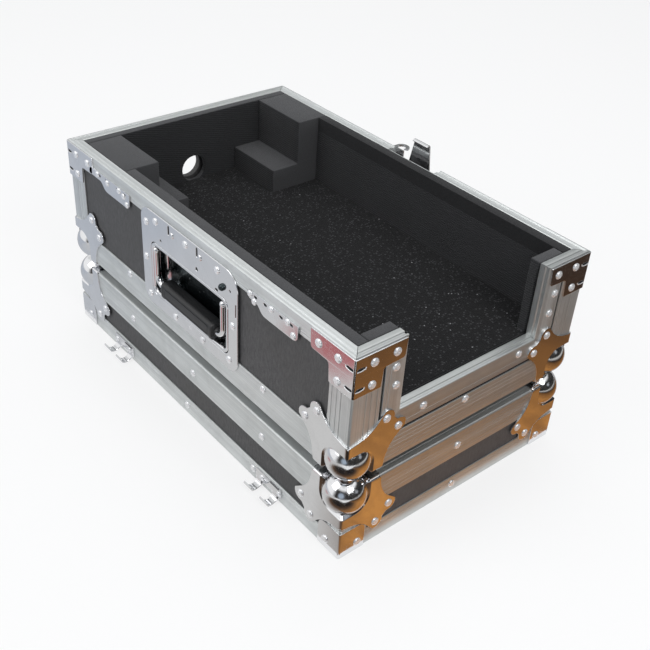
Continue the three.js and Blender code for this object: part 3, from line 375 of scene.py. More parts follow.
def spring_wire():
    material, w = surface("spring_wire")
    lines = w.effect(DRAWN_LINES, stretch=(900.0, 120.0, 900.0))["Lines"]
    colour = w.mix(lines, (0.38, 0.38, 0.39), (0.6, 0.61, 0.62))
    return finished(material, w, Base_Color=colour, Metallic=1.0, Roughness=w.ramp(lines, 0, 1, 0.25, 0.4),
                    Normal=w.bump(lines, 0.00005, 0.4))


def dark_dish_steel():
    """The unlit floor of the handle's dish: dark, smooth and scratched."""
    material, w = surface("dark_dish_steel")
    smudge = w.effect(SMUDGES, fineness=30.0)["Mask"]
    scratch = w.effect(SCRATCHES, fineness=55.0)["Mask"]
    chips = w.effect(SPECKS, fineness=190.0, share=0.06, size=0.16)["Mask"]
    colour = w.mix(smudge, (0.025, 0.035, 0.038), (0.055, 0.07, 0.075))
    worn = w.math("MAXIMUM", w.times(w.times(scratch, smudge), 0.8), chips)
    return finished(material, w, Base_Color=w.mix(worn, colour, (0.42, 0.44, 0.45)), Metallic=0.9,
                    Roughness=w.ramp(smudge, 0, 1, 0.14, 0.3), Normal=w.bump(scratch, 0.00004, 0.4))


# The runs along x, on the front and rear faces, take a darker copy of the same aluminium: painted shade.
ALUMINIUM = {"x": extruded_aluminium("x", 0.88, (0.47, 0.49, 0.49), (0.68, 0.70, 0.695)),
             "y": extruded_aluminium("y", 0.55), "z": extruded_aluminium("z", 0.8)}
CHROME = bright_chrome("bright_chrome")
RIVET_STEEL = bright_chrome("rivet_steel", (0.90, 0.905, 0.92), 0.2, 0.1, 0.62)
DISH_STEEL = dark_dish_steel()
LAMINATE = grey_laminate()
RIB_DARK, RIB_LIGHT = (0.014, 0.014, 0.015), (0.034, 0.035, 0.037)
SIDE_FOAM = foam("ribbed_side_foam", RIB_DARK, RIB_LIGHT, (0, 0, 1), 0.0005)
REAR_FOAM = foam("ribbed_rear_foam", RIB_DARK, RIB_LIGHT, (0.25, 0, 0.97), 0.0005)
CUT_FOAM = foam("cut_grey_foam", (0.040, 0.040, 0.042), (0.075, 0.075, 0.078))
# Near-black foam; also painted shade low in plate holes and on the box's front board.
BLACK_FOAM_AND_PAINTED_SHADE = foam("black_foam_and_painted_shade", (0.006, 0.006, 0.007), (0.012, 0.012, 0.013))
MAT = speckled_mat()
GRIP = grip_moulding()
SPRING = spring_wire()


# Studio

def seen_or_mirrored(w):
    """1 on rays that show the background straight, in metal or through glass."""
    path = w.add("LightPath").outputs
    either = w.math("MAXIMUM", path["Is Camera Ray"], path["Is Glossy Ray"])
    return w.math("MAXIMUM", either, path["Is Transmission Ray"])


def studio_world():
    world = bpy.data.worlds.new("studio_world")
    bpy.context.scene.world = world
    w = cleared(world)
    plain = w.add("Background", {"Color": (0.93, 0.96, 1.0, 1), "Strength": 0.62})
    white = w.add("Background", {"Color": (1, 1, 1, 1), "Strength": 1.0})
    mixed = w.add("MixShader", {0: seen_or_mirrored(w), 1: plain.outputs[0], 2: white.outputs[0]})
    w.add("OutputWorld", {"Surface": mixed.outputs[0]})


def pale_floor():
    material = bpy.data.materials.new("pale_floor")
    w = cleared(material)
    paint = w.add("BsdfDiffuse", {"Color": (0.9, 0.9, 0.9, 1)})
    white = w.add("Emission", {"Color": (1, 1, 1, 1), "Strength": 1.0})
    share = w.times(seen_or_mirrored(w), 0.72)
    mixed = w.add("MixShader", {0: share, 1: paint.outputs[0], 2: white.outputs[0]})
    w.add("OutputMaterial", {"Surface": mixed.outputs[0]})
    return material


def stage_mesh(name, vertices, faces, material):
    mesh = bpy.data.meshes.new(name)
    mesh.from_pydata([Vector(v) * MM for v in vertices], [], faces)
    mesh.materials.append(material)
    piece = bpy.data.objects.new(name, mesh)
    bpy.context.collection.objects.link(piece)
    return piece


def flat_quad(name, x_span, y_span, z, material):
    (x0, x1), (y0, y1) = x_span, y_span
    corners = [(x0, y0, z), (x1, y0, z), (x1, y1, z), (x0, y1, z)]
    return stage_mesh(name, corners, [(0, 1, 2, 3)], material)


def mirrored_only(piece):
    """A studio card that only shiny surfaces see."""
    piece.visible_camera = piece.visible_diffuse = piece.visible_transmission = False
    piece.visible_shadow = piece.visible_volume_scatter = False


def card_material(name, shade):
    """An unlit card; shade(wiring) gives its colour over its surface."""
    material, w = surface(name)
    glow = w.add("Emission", {"Color": shade(w), "Strength": 1.0})
    w.add("OutputMaterial", {"Surface": glow.outputs[0]})
    return material


def dark_patch(w, colour):
    """Darkens a floor near the case's front left corner, brown round black."""
    brown = w.mix(w.spot((-0.345, -0.365, 0.0), 0.205, 0.27), colour, (0.13, 0.075, 0.045))
    cloud = w.effect(SMUDGES, fineness=28.0)["Mask"]
    black = w.mix(cloud, (0.012, 0.012, 0.014), (0.07, 0.05, 0.035))
    return w.mix(w.spot((-0.350, -0.385, 0.0), 0.18, 0.235), brown, black)


def warm_boards(w):
    """Orange boards near the case that turn brown and then grey farther off."""
    grain = w.effect(DRAWN_LINES, stretch=(30.0, 3.0, 1.0))["Lines"]
    fade = w.plus(w.along((1.0, -2.2, 0.0)), w.ramp(grain, 0, 1, -0.07, 0.07))
    stain = w.effect(SMUDGES, fineness=34.0)["Mask"]
    colour = w.mix(stain, (0.60, 0.27, 0.075), (0.27, 0.125, 0.05))
    for start, end, farther in ((0.60, 0.92, (0.22, 0.10, 0.035)), (0.95, 1.25, (0.045, 0.028, 0.02)),
                                (1.45, 2.1, (0.50, 0.49, 0.47))):
        colour = w.mix(w.ramp(fade, start, end), colour, farther)
    return dark_patch(w, colour)


def cool_floor(w):
    """Grey floor, bluish towards the rear, with a rosy spot."""
    cloud = w.effect(GRAIN, fineness=6.0)["Grain"]
    blue = w.mix(cloud, (0.46, 0.50, 0.57), (0.55, 0.58, 0.63))
    grey = w.mix(w.ramp(w.along((0.0, 1.0, 0.0)), 0.0, 0.40), (0.66, 0.655, 0.645), blue)
    rosy = w.mix(w.spot((-0.372, 0.012, 0.0), 0.045, 0.095), grey, (0.46, 0.16, 0.17))
    return dark_patch(w, rosy)


def far_floor(w):
    """Soft grey floor on the right of the case and behind it, in broad clouds."""
    cloud = w.effect(SMUDGES, fineness=3.5)["Mask"]
    lines = w.effect(DRAWN_LINES, stretch=(9.0, 2.0, 1.0))["Lines"]
    grey = w.mix(cloud, (0.60, 0.61, 0.63), (0.22, 0.22, 0.23))
    return w.mix(w.times(lines, 0.35), grey, (0.42, 0.40, 0.38))


def dim_wall(w):
    """The unlit side of the room, with a pane, a lamp and a window, white towards its edges."""
    w.place = w.vector("NORMALIZE", w.place)[0]
    cloud = w.effect(SMUDGES, fineness=5.0)["Mask"]
    colour = w.mix(cloud, (0.018, 0.019, 0.021), (0.085, 0.075, 0.065))
    for centre, inner, outer, bright in (((0.36, -0.86, 0.36), 0.07, 0.16, (0.42, 0.44, 0.47)),
                                         ((-0.30, -0.78, 0.55), 0.03, 0.07, (0.95, 0.95, 0.97)),
                                         ((-0.80, -0.52, 0.28), 0.14, 0.30, (0.42, 0.50, 0.60))):
        colour = w.mix(w.spot(centre, inner, outer), colour, bright)
    height = w.ramp(w.add("SeparateXYZ", {0: w.place}).outputs[2], 0.58, 0.72)
    sideways = w.ramp(w.along((0.05, -1.0, 0.0)), 0.05, -0.25)
    return w.mix(w.math("MAXIMUM", height, sideways), colour, (1, 1, 1))


def dim_ceiling(w):
    """A grey ceiling with a lamp, darker to the right and the rear."""
    cloud = w.effect(SMUDGES, fineness=0.8)["Mask"]
    grey = w.mix(w.ramp(w.along((1.0, 0.12, 0.0)), 2.75, 3.6), (0.80, 0.81, 0.81), (0.16, 0.17, 0.17))
    grey = w.mix(w.times(cloud, 0.5), grey, (0.55, 0.55, 0.54))
    return w.mix(w.spot((-0.5, -0.35, 2.6), 0.55, 0.75), grey, (1.3, 1.3, 1.32))


def mirrored_card(shade, name, x_span, y_span, z):
    mirrored_only(flat_quad(name, x_span, y_span, z, card_material(name, shade)))


def mirrored_wall(shade, name, radius=3200, height=3600, middle=-93, spread=105, steps=40):
    """A tall curved card in front of the case."""
    spots = arc((0, 0), radius, middle - spread, middle + spread, steps)
    vertices = [(x, y, z) for x, y in spots for z in (1, height)]
    faces = [(2 * k, 2 * k + 2, 2 * k + 3, 2 * k + 1) for k in range(steps)]
    mirrored_only(stage_mesh(name, vertices, faces, card_material(name, shade)))


def softbox(name, place, target, size, power):
    data = bpy.data.lights.new(name, "AREA")
    data.shape = "RECTANGLE"
    data.size, data.size_y = size
    data.energy = power
    lamp = bpy.data.objects.new(name, data)
    bpy.context.collection.objects.link(lamp)
    turn = (Vector(target) - Vector(place)).to_track_quat("-Z", "Y").to_matrix().to_4x4()
    lamp.matrix_world = Matrix.Translation(place) @ turn


def studio():
    """White all round, soft lamps, and cards for the metal to mirror, most of them just above the floor."""
    studio_world()
    reach, card_reach, ceiling, lift = 30000, 2600, 2600, 0.4
    flat_quad("studio_floor", (-reach, reach), (-reach, reach), 0, pale_floor())
    softbox("left_softbox", (-1.5, 0.5, 1.5), (0, 0, 0.1), (1.2, 1.2), 8)
    softbox("top_softbox", (0.3, 0.3, 1.9), (0, 0, 0.1), (1.2, 1.2), 8)
    softbox("front_softbox", (-0.2, -1.7, 1.5), (0, 0, 0.12), (0.9, 0.6), 12)
    left, right, front, rear = -146, 146, -236, 242
    warm_left, cool_front, ceiling_far = -300, -420, 12000
    mirrored_card(warm_boards, "warm_card", (warm_left, card_reach), (-card_reach, front), 2 * lift)
    mirrored_card(cool_floor, "cool_card", (-card_reach, left), (cool_front, card_reach), lift)
    mirrored_card(far_floor, "right_card", (right, card_reach), (front, card_reach), lift)
    mirrored_card(far_floor, "rear_card", (left, right), (rear, card_reach), lift)
    mirrored_wall(dim_wall, "dim_wall")
    mirrored_card(dim_ceiling, "dim_ceiling", (-1500, ceiling_far), (-1200, ceiling_far), ceiling)


# Making shapes

def arc(centre, radius, start, end, steps):
    """Points on an arc, angles in degrees."""
    angles = [math.radians(start + (end - start) * i / steps) for i in range(steps + 1)]
    return [(centre[0] + radius * math.cos(a), centre[1] + radius * math.sin(a)) for a in angles]


def circle(centre, radius, steps):
    return arc(centre, radius, 0, 360 - 360 / steps, steps - 1)


def bent(ends, steps):
    """Points of a smooth curve that leaves its first end and meets its last towards the points between."""
    points = []
    for k in range(steps + 1):
        line = [Vector(end) for end in ends]
        while len(line) > 1:
            line = [a.lerp(b, k / steps) for a, b in zip(line, line[1:])]
        points.append(tuple(line[0]))
    return points


def rounded(points, steps=3):
    """A closed outline whose corners (a, b, radius) are rounded."""
    outline = []
    for i, corner in enumerate(points):
        here = Vector(corner[:2])
        radius = corner[2] if len(corner) > 2 else 0
        if not radius:
            outline.append(tuple(here))
            continue
        before = Vector(points[i - 1][:2]) - here
        after = Vector(points[(i + 1) % len(points)][:2]) - here
        half_angle = before.angle(after) / 2
        reach = min(radius / math.tan(half_angle), before.length * 0.49, after.length * 0.49)
        start, end = here + before.normalized() * reach, here + after.normalized() * reach
        bow = reach * math.tan(half_angle)
        centre = here + ((start + end) / 2 - here).normalized() * math.hypot(reach, bow)
        for k in range(steps + 1):
            spoke = start.lerp(end, k / steps) - centre
            outline.append(tuple(centre + spoke.normalized() * bow))
    return outline


def rounded_rectangle(a_span, b_span, radius, steps=6):
    (a0, a1), (b0, b1) = a_span, b_span
    return rounded([(a0, b0, radius), (a1, b0, radius), (a1, b1, radius), (a0, b1, radius)], steps)


def slit(a, b, half_a, half_b, radius, steps=3):
    """A rounded rectangle round its middle."""
    return rounded_rectangle((a - half_a, a + half_a), (b - half_b, b + half_b), radius, steps)


def on_left(a, b, depth):
    """Places a flat outline (y, z) on the case's left side."""
    return Vector((LEFT_FACE + depth, a, b))


def last_inside(inside, near, far, rounds):
    """The farthest value between near and far that is still inside, found by halving."""
    for _ in range(rounds):
        middle = (near + far) / 2
        if inside(middle):
            near = middle
        else:
            far = middle
    return near


def cut_across(solid, place, normal, slack=0.001):
    """Cuts faces along a plane, so that they can bend or taper there."""
    everything = solid.verts[:] + solid.edges[:] + solid.faces[:]
    bmesh.ops.bisect_plane(solid, geom=everything, plane_co=place, plane_no=normal, dist=slack)


def soften_edges(solid, over, offset, segments):
    """Rounds the edges that turn by more than an angle in degrees."""
    edges = [e for e in solid.edges if len(e.link_faces) == 2 and e.calc_face_angle() > math.radians(over)]
    bmesh.ops.bevel(solid, geom=edges, offset=offset, offset_type="OFFSET", segments=segments, profile=0.5,
                    affect="EDGES", clamp_overlap=True)


def node_solid(node):
    """A copy of a node's mesh in millimetres."""
    solid = bmesh.new()
    solid.from_mesh(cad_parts[node].data)
    bmesh.ops.scale(solid, vec=(1 / MM,) * 3, verts=solid.verts)
    bmesh.ops.remove_doubles(solid, verts=solid.verts, dist=0.01)
    return solid


def smooth_piece(solid, name, materials, sharp):
    """An object in metres, its shading smooth but for edges sharper than an angle in degrees."""
    bmesh.ops.scale(solid, vec=(MM,) * 3, verts=solid.verts)
    mesh = bpy.data.meshes.new(name)
    solid.to_mesh(mesh)
    solid.free()
    for material in materials:
        mesh.materials.append(material)
    mesh.shade_smooth()
    mesh.set_sharp_from_angle(angle=math.radians(sharp))
    piece = bpy.data.objects.new(name, mesh)
    bpy.context.collection.objects.link(piece)
    return piece


# Finishes of a pressed piece, by number: its sheet, its rivets, the painted shade low in its holes and the
# handle's dish
PRESSED = [CHROME, RIVET_STEEL, BLACK_FOAM_AND_PAINTED_SHADE, DISH_STEEL]
RIVET, PAINTED_SHADE, DISH_FLOOR = 1, 2, 3


class Shape:
    """Solids in millimetres that become one piece; finish is a solid's material in it, by number."""

    def __init__(self):
        self.mesh = bmesh.new()

    def take(self, vertices, faces, finish=0):
        made = [self.mesh.verts.new(v) for v in vertices]
        for face in faces:
            self.mesh.faces.new([made[i] for i in face]).material_index = finish

    def wall(self, rings, finish=0, closed=False, ends=()):
        """Faces between loops of equally many points; a closed wall joins the last loop to the first."""
        count, faces = len(rings[0]), []
        for k in range(len(rings) if closed else len(rings) - 1):
            here, after = k * count, (k + 1) % len(rings) * count
            for i in range(count):
                j = (i + 1) % count
                faces.append((here + i, here + j, after + j, after + i))
        self.take([Vector(point) for ring in rings for point in ring], [*faces, *ends], finish)

    def sweep(self, sections, finish=0):
        """A solid through sections of equally many points, closed at both ends."""
        count, last = len(sections[0]), len(sections[0]) * (len(sections) - 1)
        self.wall(sections, finish, ends=(range(count)[::-1], range(last, last + count)))

    def lathe(self, profile, centre, axis, sides=24, finish=0):
        """A turned solid; the profile (radius, height) starts and ends on the axis."""
        turn = Vector(axis).to_track_quat("Z", "Y").to_matrix()
        rings = []
        for radius, height in profile:
            around = [2 * math.pi * k / sides for k in range(sides if radius > 1e-6 else 1)]
            points = [Vector((radius * math.cos(a), radius * math.sin(a), height)) for a in around]
            rings.append([self.mesh.verts.new(Vector(centre) + turn @ point) for point in points])
        for first, second in zip(rings, rings[1:]):
            for k in range(sides):
                j = (k + 1) % sides
                corners = [first[k % len(first)], first[j % len(first)],
                           second[j % len(second)], second[k % len(second)]]
                corners = list(dict.fromkeys(corners))
                if len(corners) > 2:
                    self.mesh.faces.new(corners).material_index = finish

    def tube(self, path, radius, sides, finish=0):
        """A round wire through the path's points."""
        points = [Vector(p) for p in path]
        side, sections = (points[1] - points[0]).orthogonal().normalized(), []
        for i, point in enumerate(points):
            tangent = (points[min(i + 1, len(points) - 1)] - points[max(i - 1, 0)]).normalized()
            side = (side - tangent * side.dot(tangent)).normalized()
            other = tangent.cross(side)
            sections.append([point + (side * math.cos(a) + other * math.sin(a)) * radius
                             for a in (2 * math.pi * k / sides for k in range(sides))])
        self.sweep(sections, finish)

    def plate(self, outline, place, holes=(), edge=0.45, folds=()):
        """A flat sheet with rounded edges and holes, placed by place(a, b, depth from its outer face).

        folds are the values of a along which its faces are cut, for a plate that place bends."""
        curve = bpy.data.curves.new("plate_outline", "CURVE")
        curve.dimensions, curve.fill_mode = "2D", "BOTH"
        curve.bevel_depth, curve.bevel_resolution = edge, 1
        curve.extrude, curve.offset = SHEET / 2 - edge, -edge
        for loop in [outline, *(hole[::-1] for hole in holes)]:
            spline = curve.splines.new("POLY")
            spline.points.add(len(loop) - 1)
            for point, (a, b) in zip(spline.points, loop):
                point.co = (a, b, 0, 1)
            spline.use_cyclic_u = True
        source = bpy.data.objects.new("plate_outline", curve)
        bpy.context.collection.objects.link(source)
        graph = bpy.context.evaluated_depsgraph_get()
        filled = bpy.data.meshes.new_from_object(source.evaluated_get(graph))
        bpy.data.objects.remove(source)
        bpy.data.curves.remove(curve)
        flat = bmesh.new()
        flat.from_mesh(filled)
        bpy.data.meshes.remove(filled)
        bmesh.ops.remove_doubles(flat, verts=flat.verts, dist=0.002)
        for a in folds:
            cut_across(flat, (a, 0, 0), (1, 0, 0), 0.0005)
        flat.verts.index_update()
        vertices = [place(v.co.x, v.co.y, SHEET / 2 - v.co.z) for v in flat.verts]
        self.take(vertices, [tuple(v.index for v in f.verts) for f in flat.faces])
        flat.free()

    def painted_shade_backs(self, holes, place, *depths):
        """Painted shade: near-black floors low in a plate's slits and holes, where there is only shade."""
        for hole in holes:
            self.sweep([[place(a, b, depth) for a, b in hole] for depth in depths], PAINTED_SHADE)

    def dome(self, place, normal, size=TRIM_RIVET, finish=0):
        """A rivet head with a shallow dimple."""
        shares = ((0.97, 0), (1, 0.12), (0.965, 0.36), (0.87, 0.62), (0.7, 0.85), (0.5, 0.97), (0.36, 1),
                  (0.27, 0.93), (0.14, 0.83), (0, 0.8))
        sunk = -0.4
        profile = [(size[0] * out, size[1] * up if up else sunk) for out, up in shares]
        self.lathe([(0, sunk), *profile], place, normal, 20, finish)

    def made(self, name, body, materials, slot, nodes=(), sharp=38):
        """Turns the shape into a piece that rides on a body and stands for the named nodes."""
        bmesh.ops.recalc_face_normals(self.mesh, faces=self.mesh.faces)
        piece = smooth_piece(self.mesh, name, materials, sharp)
        weighted = piece.modifiers.new("even_shading", "WEIGHTED_NORMAL")
        weighted.keep_sharp = True
        if nodes:
            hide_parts(*nodes)
        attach(piece, body)
        return piece


photo_camera()
studio()
bpy.context.scene.view_settings.view_transform = "Standard"


# Extruded trim

def across(a, depth):
    return a, depth


def down(a, depth):
    return depth, a


def grooves(reach, shares, place, width=0.6, depth=0.28, sign=1):
    """Fine V grooves at shares of a reach, listed towards its end, or back from it where the sign is -1."""
    points = []
    for share in shares[::sign]:
        half = sign * width / 2
        for off, deep, radius in ((-half, 0, 0.1), (0, depth, 0.08), (half, 0, 0.1)):
            points.append((*place(reach * share + off, deep), radius))
    return points


def angle_section(shares, width, depth):
    """Edge angle: u goes in from one face, v from the other."""
    return rounded([(0, LEG, 0.5), (SHEET, LEG, 0.4), (SHEET, SHEET), (LEG, SHEET, 0.4), (LEG, 0, 0.5),
                    *grooves(LEG, shares, across, width, depth, -1), (0, 0, 2.0),
                    *grooves(LEG, shares, down, width, depth)])


def rim_section(flange):
    """Rim: u goes in from the outer face, v down from its top edge."""
    tongue, slope = LIP + GROOVE, 0.5
    return rounded([(0, flange, 0.5), *grooves(flange, RIM_RIB_SHARES, down, sign=-1), (0, 0, 0.9),
                    (LIP, 0, 0.8), (LIP + slope, GROOVE_DEPTH, 0.6), (tongue - slope, GROOVE_DEPTH, 0.6),
                    (tongue, 0, 0.9), (RIM_WIDTH, 0, 0.9), (RIM_WIDTH, TONGUE_FOOT, 0.4),
                    (BOARD_FACE, TONGUE_FOOT), (BOARD_FACE, SLOT_TOP), (SHEET, SLOT_TOP),
                    (SHEET, flange, 0.4)])


def between(half, gap):
    return gap - half, half - gap


def run_along(shape, section, axis, side, span, rise, finish=0, mitres=(True, True)):
    """A straight run along x or y. Side is its face's sign, rise the height where v is 0 and v's sign."""
    rings, (edge_z, up) = [], rise
    for end, inwards, mitred in zip(span, (1, -1), mitres):
        ring = []
        for u, v in section:
            along = end + inwards * (u if mitred else 0)
            out = side * ((HALF_Y if axis == "x" else HALF_X) - u)
            ring.append((along, out, edge_z + up * v) if axis == "x" else (out, along, edge_z + up * v))
        rings.append(ring)
    shape.sweep(rings, finish)


def post(shape, signs, span):
    """An upright angle, its leg on the side narrower than the one on the end."""
    sx, sy = signs
    past_sheet = 2 * SHEET
    section = [(u, v * SIDE_LEG / LEG if v > past_sheet else v)
               for u, v in angle_section(POST_RIB_SHARES, 0.8, 1.0)]
    shape.sweep([[(sx * (HALF_X - u), sy * (HALF_Y - v), z) for u, v in section] for z in span], 2)


def trims():
    """Runs of edge angle between the ball corners, and the upright angles."""
    materials = [ALUMINIUM[run] for run in "xyz"]
    ends, sides = angle_section(RIB_SHARES, 0.7, 0.3), angle_section(SIDE_RIB_SHARES, 0.5, 0.12)
    gap, square = 0.1, (False, False)
    for name, body, rise, posts in (
            ("box_bottom_trim", BOX, (BASE, 1), None),
            ("lid_edge_trim", LID, (LID_TOP, -1), (LID_FLANGE + gap, LID_TOP - LEG - gap))):
        shape = Shape()
        for side in (-1, 1):
            run_along(shape, ends, "x", side, between(HALF_X, BALL_CLEARANCE), rise, 0, square)
            run_along(shape, sides, "y", side, between(HALF_Y, BALL_CLEARANCE), rise, 1, square)
        if posts:
            for signs in CORNERS.values():
                post(shape, signs, posts)
        shape.made(name + "_runs", body, materials, "aluminium", [name])
    for corner, signs in CORNERS.items():
        shape = Shape()
        post(shape, signs, (BASE + LEG + gap * 1.5, TOP - RIM_FLANGE - gap))
        shape.made(f"box_{corner}_edge", BOX, materials, "aluminium", [f"box_{corner}_angle"])


def rims():
    """The straight rims of box and lid; the right one is only a low tongue under the latch hook."""
    materials = [ALUMINIUM["x"], ALUMINIUM["y"]]
    section = rim_section(RIM_FLANGE)
    x_span, y_span = between(HALF_X, MITRE_GAP), between(HALF_Y, MITRE_GAP)
    drop, rise = (TOP, -1), (0, 1)
    left, rear, right, lid = Shape(), Shape(), Shape(), Shape()
    run_along(left, section, "y", -1, y_span, drop, 1)
    left.made("left_rim_run", BOX, materials, "aluminium", ["box_left_rim"])
    run_along(rear, section, "x", 1, x_span, drop)
    rear.made("rear_rim_run", BOX, materials, "aluminium", ["box_rear_rim"])

    tongue_top, latch_front, latch_rear = 1.6, LATCH_Y - 37.0, LATCH_Y + 31.5
    tongue = rounded([(BOARD_FACE, tongue_top, 0.6), (RIM_WIDTH, tongue_top, 0.6),
                      (RIM_WIDTH, TONGUE_FOOT, 0.4), (BOARD_FACE, TONGUE_FOOT, 0.2)])
    run_along(right, section, "y", 1, (y_span[0], latch_front), drop, mitres=(True, False))
    run_along(right, section, "y", 1, (latch_rear, y_span[1]), drop, mitres=(False, True))
    run_along(right, tongue, "y", 1, (latch_front, latch_rear), drop, mitres=(False, False))
    right.made("right_rim_run", BOX, [ALUMINIUM["y"]], "aluminium", ["box_right_rim"])

    lid_section = rim_section(LID_FLANGE)
    for side in (-1, 1):
        run_along(lid, lid_section, "x", side, x_span, rise)
        run_along(lid, lid_section, "y", side, y_span, rise, 1)
    lid.made("lid_rim_runs", LID, materials, "aluminium", ["lid_rim"])


def front_rim():
    """The front run turns down the jambs of the cut-out and along its sill."""
    rim = rim_section(RIM_FLANGE)
    points = [(u, v, w) for (u, v), (_, w) in zip(rim, rim_section(DOOR_FLANGE))]
    gap, half_gap = MITRE_GAP, MITRE_GAP / 2
    shape = Shape()

    def section(x_of, z_of):
        return [(x_of(u, w), u - HALF_Y, z_of(v, w)) for u, v, w in points]

    def beside(side, back=0):
        return lambda u, w: side * (OPENING + w + back)

    for side in (-1, 1):
        shape.sweep([section(lambda u, w: side * (HALF_X - gap - u), lambda v, w: TOP - v),
                     section(beside(side, half_gap), lambda v, w: TOP - v)], 0)
        shape.sweep([section(beside(side), lambda v, w: TOP - v - half_gap),
                     section(beside(side), lambda v, w: SILL - w + half_gap)], 2)
    shape.sweep([section(beside(side, -half_gap), lambda v, w: SILL - w) for side in (-1, 1)], 0)
    shape.made("front_rim_run", BOX, [ALUMINIUM[run] for run in "xyz"], "aluminium", ["box_front_rim"])


# Corner hardware

def wing_outline():
    """A wing's free edge, from the end of one fold to the end of the other."""
    first = bent([(FOLD_LENGTH, -SHEET), (42.0, 22.0), (55.6, 32.0)], 8)
    lobe = arc(WING_LOBE, LOBE_RADIUS, -70, 103, 14)
    half = first + [point for point in lobe if point[0] - point[1] > 0.2]
    return half + [(b, a) for a, b in reversed(half)]


def ray_end(outline, angle):
    """How far the outline is from the folded corner in a direction."""
    corner = Vector((-SHEET, -SHEET))
    heading = Vector((math.cos(angle), math.sin(angle)))
    best, nearly = 0.0, 1e-6
    for first, second in zip(outline, outline[1:]):
        a, b = Vector(first) - corner, Vector(second) - corner
        edge = b - a
        cross = heading.x * edge.y - heading.y * edge.x
        if abs(cross) < nearly / 1000:
            continue
        reach = (a.x * edge.y - a.y * edge.x) / cross
        share = (a.x * heading.y - a.y * heading.x) / cross
        if reach > 0 and -nearly <= share <= 1 + nearly:
            best = max(best, reach)
    return best


def folded_depth(p):
    """Below 0 inside the corner's folded sheet, above it outside."""
    near = [FOLD - SHEET - c for c in p]
    outside = math.sqrt(sum(max(n, 0.0) ** 2 for n in near))
    return outside + min(max(near), 0.0) - FOLD


def pressed_point(a, b, share):
    """The outer surface over a point of the wing's plane: share is 0 on the ball, 1 on the folded sheet."""
    centre = Vector((BALL_INSET,) * 3)
    ray = Vector((a, b, -SHEET)) - centre
    ball = centre + ray.normalized() * BALL
    if share == 0:
        return ball
    folded = centre + ray * last_inside(lambda far: folded_depth(centre + ray * far) < 0, 0.55, 1.2, 24)
    return ball.lerp(folded, share)


def crease_reach(angle, crease):
    """How far from the folded corner the ball's crease crosses a line at an angle."""
    inset = SHEET + CREASE_INSET

    def inside(far):
        a, b = far * math.cos(angle) - inset, far * math.sin(angle) - inset
        return math.hypot(max(a, 0.0), max(b, 0.0)) < crease

    return last_inside(inside, 0.0, 60.0, 30)


def inner_point(point, share):
    """The inside of the pressed sheet behind an outer point."""
    centre = Vector((BALL_INSET,) * 3)
    ball = centre + (point - centre).normalized() * (BALL - BALL_SHEET)
    return ball.lerp(Vector([max(c, 0) for c in point]), share)


def pressed_wing():
    """One third of the corner in the positive octant: rows of points from the ball's tip to the free edge."""
    outline = wing_outline()
    rays, rows, nearly = 40, [], 1e-4
    for k in range(rays + 1):
        angle = math.pi / 2 * k / rays
        reach = ray_end(outline, min(max(angle, nearly), math.pi / 2 - nearly))
        foot, brow = crease_reach(angle, CREASE - LEDGE), crease_reach(angle, CREASE)
        stops = [(foot * i / 22, 0.0) for i in range(1, 23)]
        stops += [(foot + (brow - foot) * t, t * t * (3 - 2 * t)) for t in (0.15, 0.35, 0.6, 0.8, 0.92)]
        stops += [(brow + (reach - 1.2 - brow) * i / 6, 1.0) for i in range(7)]
        stops += [(reach - back, 1.0) for back in (0.6, 0.2, 0)]
        points = [pressed_point(stop * math.cos(angle) - SHEET, stop * math.sin(angle) - SHEET, share)
                  for stop, share in stops]
        edge, step = points[-1], 0.05
        slope = Vector([folded_depth(edge + aside) - folded_depth(edge - aside)
                        for aside in (Vector((step, 0, 0)), Vector((0, step, 0)), Vector((0, 0, step)))])
        inward = -slope.normalized()
        points[-2] += inward * 0.06
        points[-1] += inward * 0.25
        points.append(edge + inward * 0.6)
        shares = [share for _, share in stops] + [1.0]
        rows.append((points, [inner_point(point, share) for point, share in zip(points, shares)]))
    tip = pressed_point(-SHEET, -SHEET, 0)
    return tip, inner_point(tip, 0), rows


def pressed_corner():
    """Vertices and faces of the whole closed corner piece, its corner at the origin."""
    tip, inner_tip, rows = pressed_wing()
    numbers, vertices, faces = {}, [], []

    def number(point, order):
        turned = Vector([point[i] for i in order])
        key = tuple(round(c, 3) for c in turned)
        if key not in numbers:
            numbers[key] = len(vertices)
            vertices.append(turned)
        return numbers[key]

    for order in ((0, 1, 2), (2, 0, 1), (1, 2, 0)):
        outer, inner = ([[number(point, order) for point in row[k]] for row in rows] for k in (0, 1))
        centre, behind = number(tip, order), number(inner_tip, order)
        for here, after, here_in, after_in in zip(outer, outer[1:], inner, inner[1:]):
            faces += [(centre, here[0], after[0]), (behind, after_in[0], here_in[0])]
            for i in range(len(here) - 1):
                faces.append((here[i], here[i + 1], after[i + 1], after[i]))
                faces.append((here_in[i + 1], here_in[i], after_in[i], after_in[i + 1]))
            faces.append((here[-1], here_in[-1], after_in[-1], after[-1]))
    faces = [tuple(dict.fromkeys(face)) for face in faces]
    return vertices, [face for face in faces if len(face) > 2]


def ball_corners():
    vertices, faces = pressed_corner()
    for level, face_z, inward, body in (("box", BASE, 1, BOX), ("lid", LID_TOP, -1, LID)):
        for corner, (sx, sy) in CORNERS.items():
            def put(p):
                return Vector((sx * (HALF_X - p[0]), sy * (HALF_Y - p[1]), face_z + inward * p[2]))

            shape = Shape()
            shape.take([put(v) for v in vertices], faces)
            for out in (2, 0, 1):
                for a, b in WING_RIVETS:
                    spot, away = [0.0] * 3, [0.0] * 3
                    spot[(out + 1) % 3], spot[(out + 2) % 3], spot[out] = a, b, -SHEET
                    away[out] = -1.0
                    shape.dome(put(spot), put(away) - put((0, 0, 0)), finish=RIVET)
            shape.made(f"{level}_{corner}_corner", body, PRESSED[:2], "chrome",
                       [f"{level}_{corner}_ball_corner"], sharp=60)


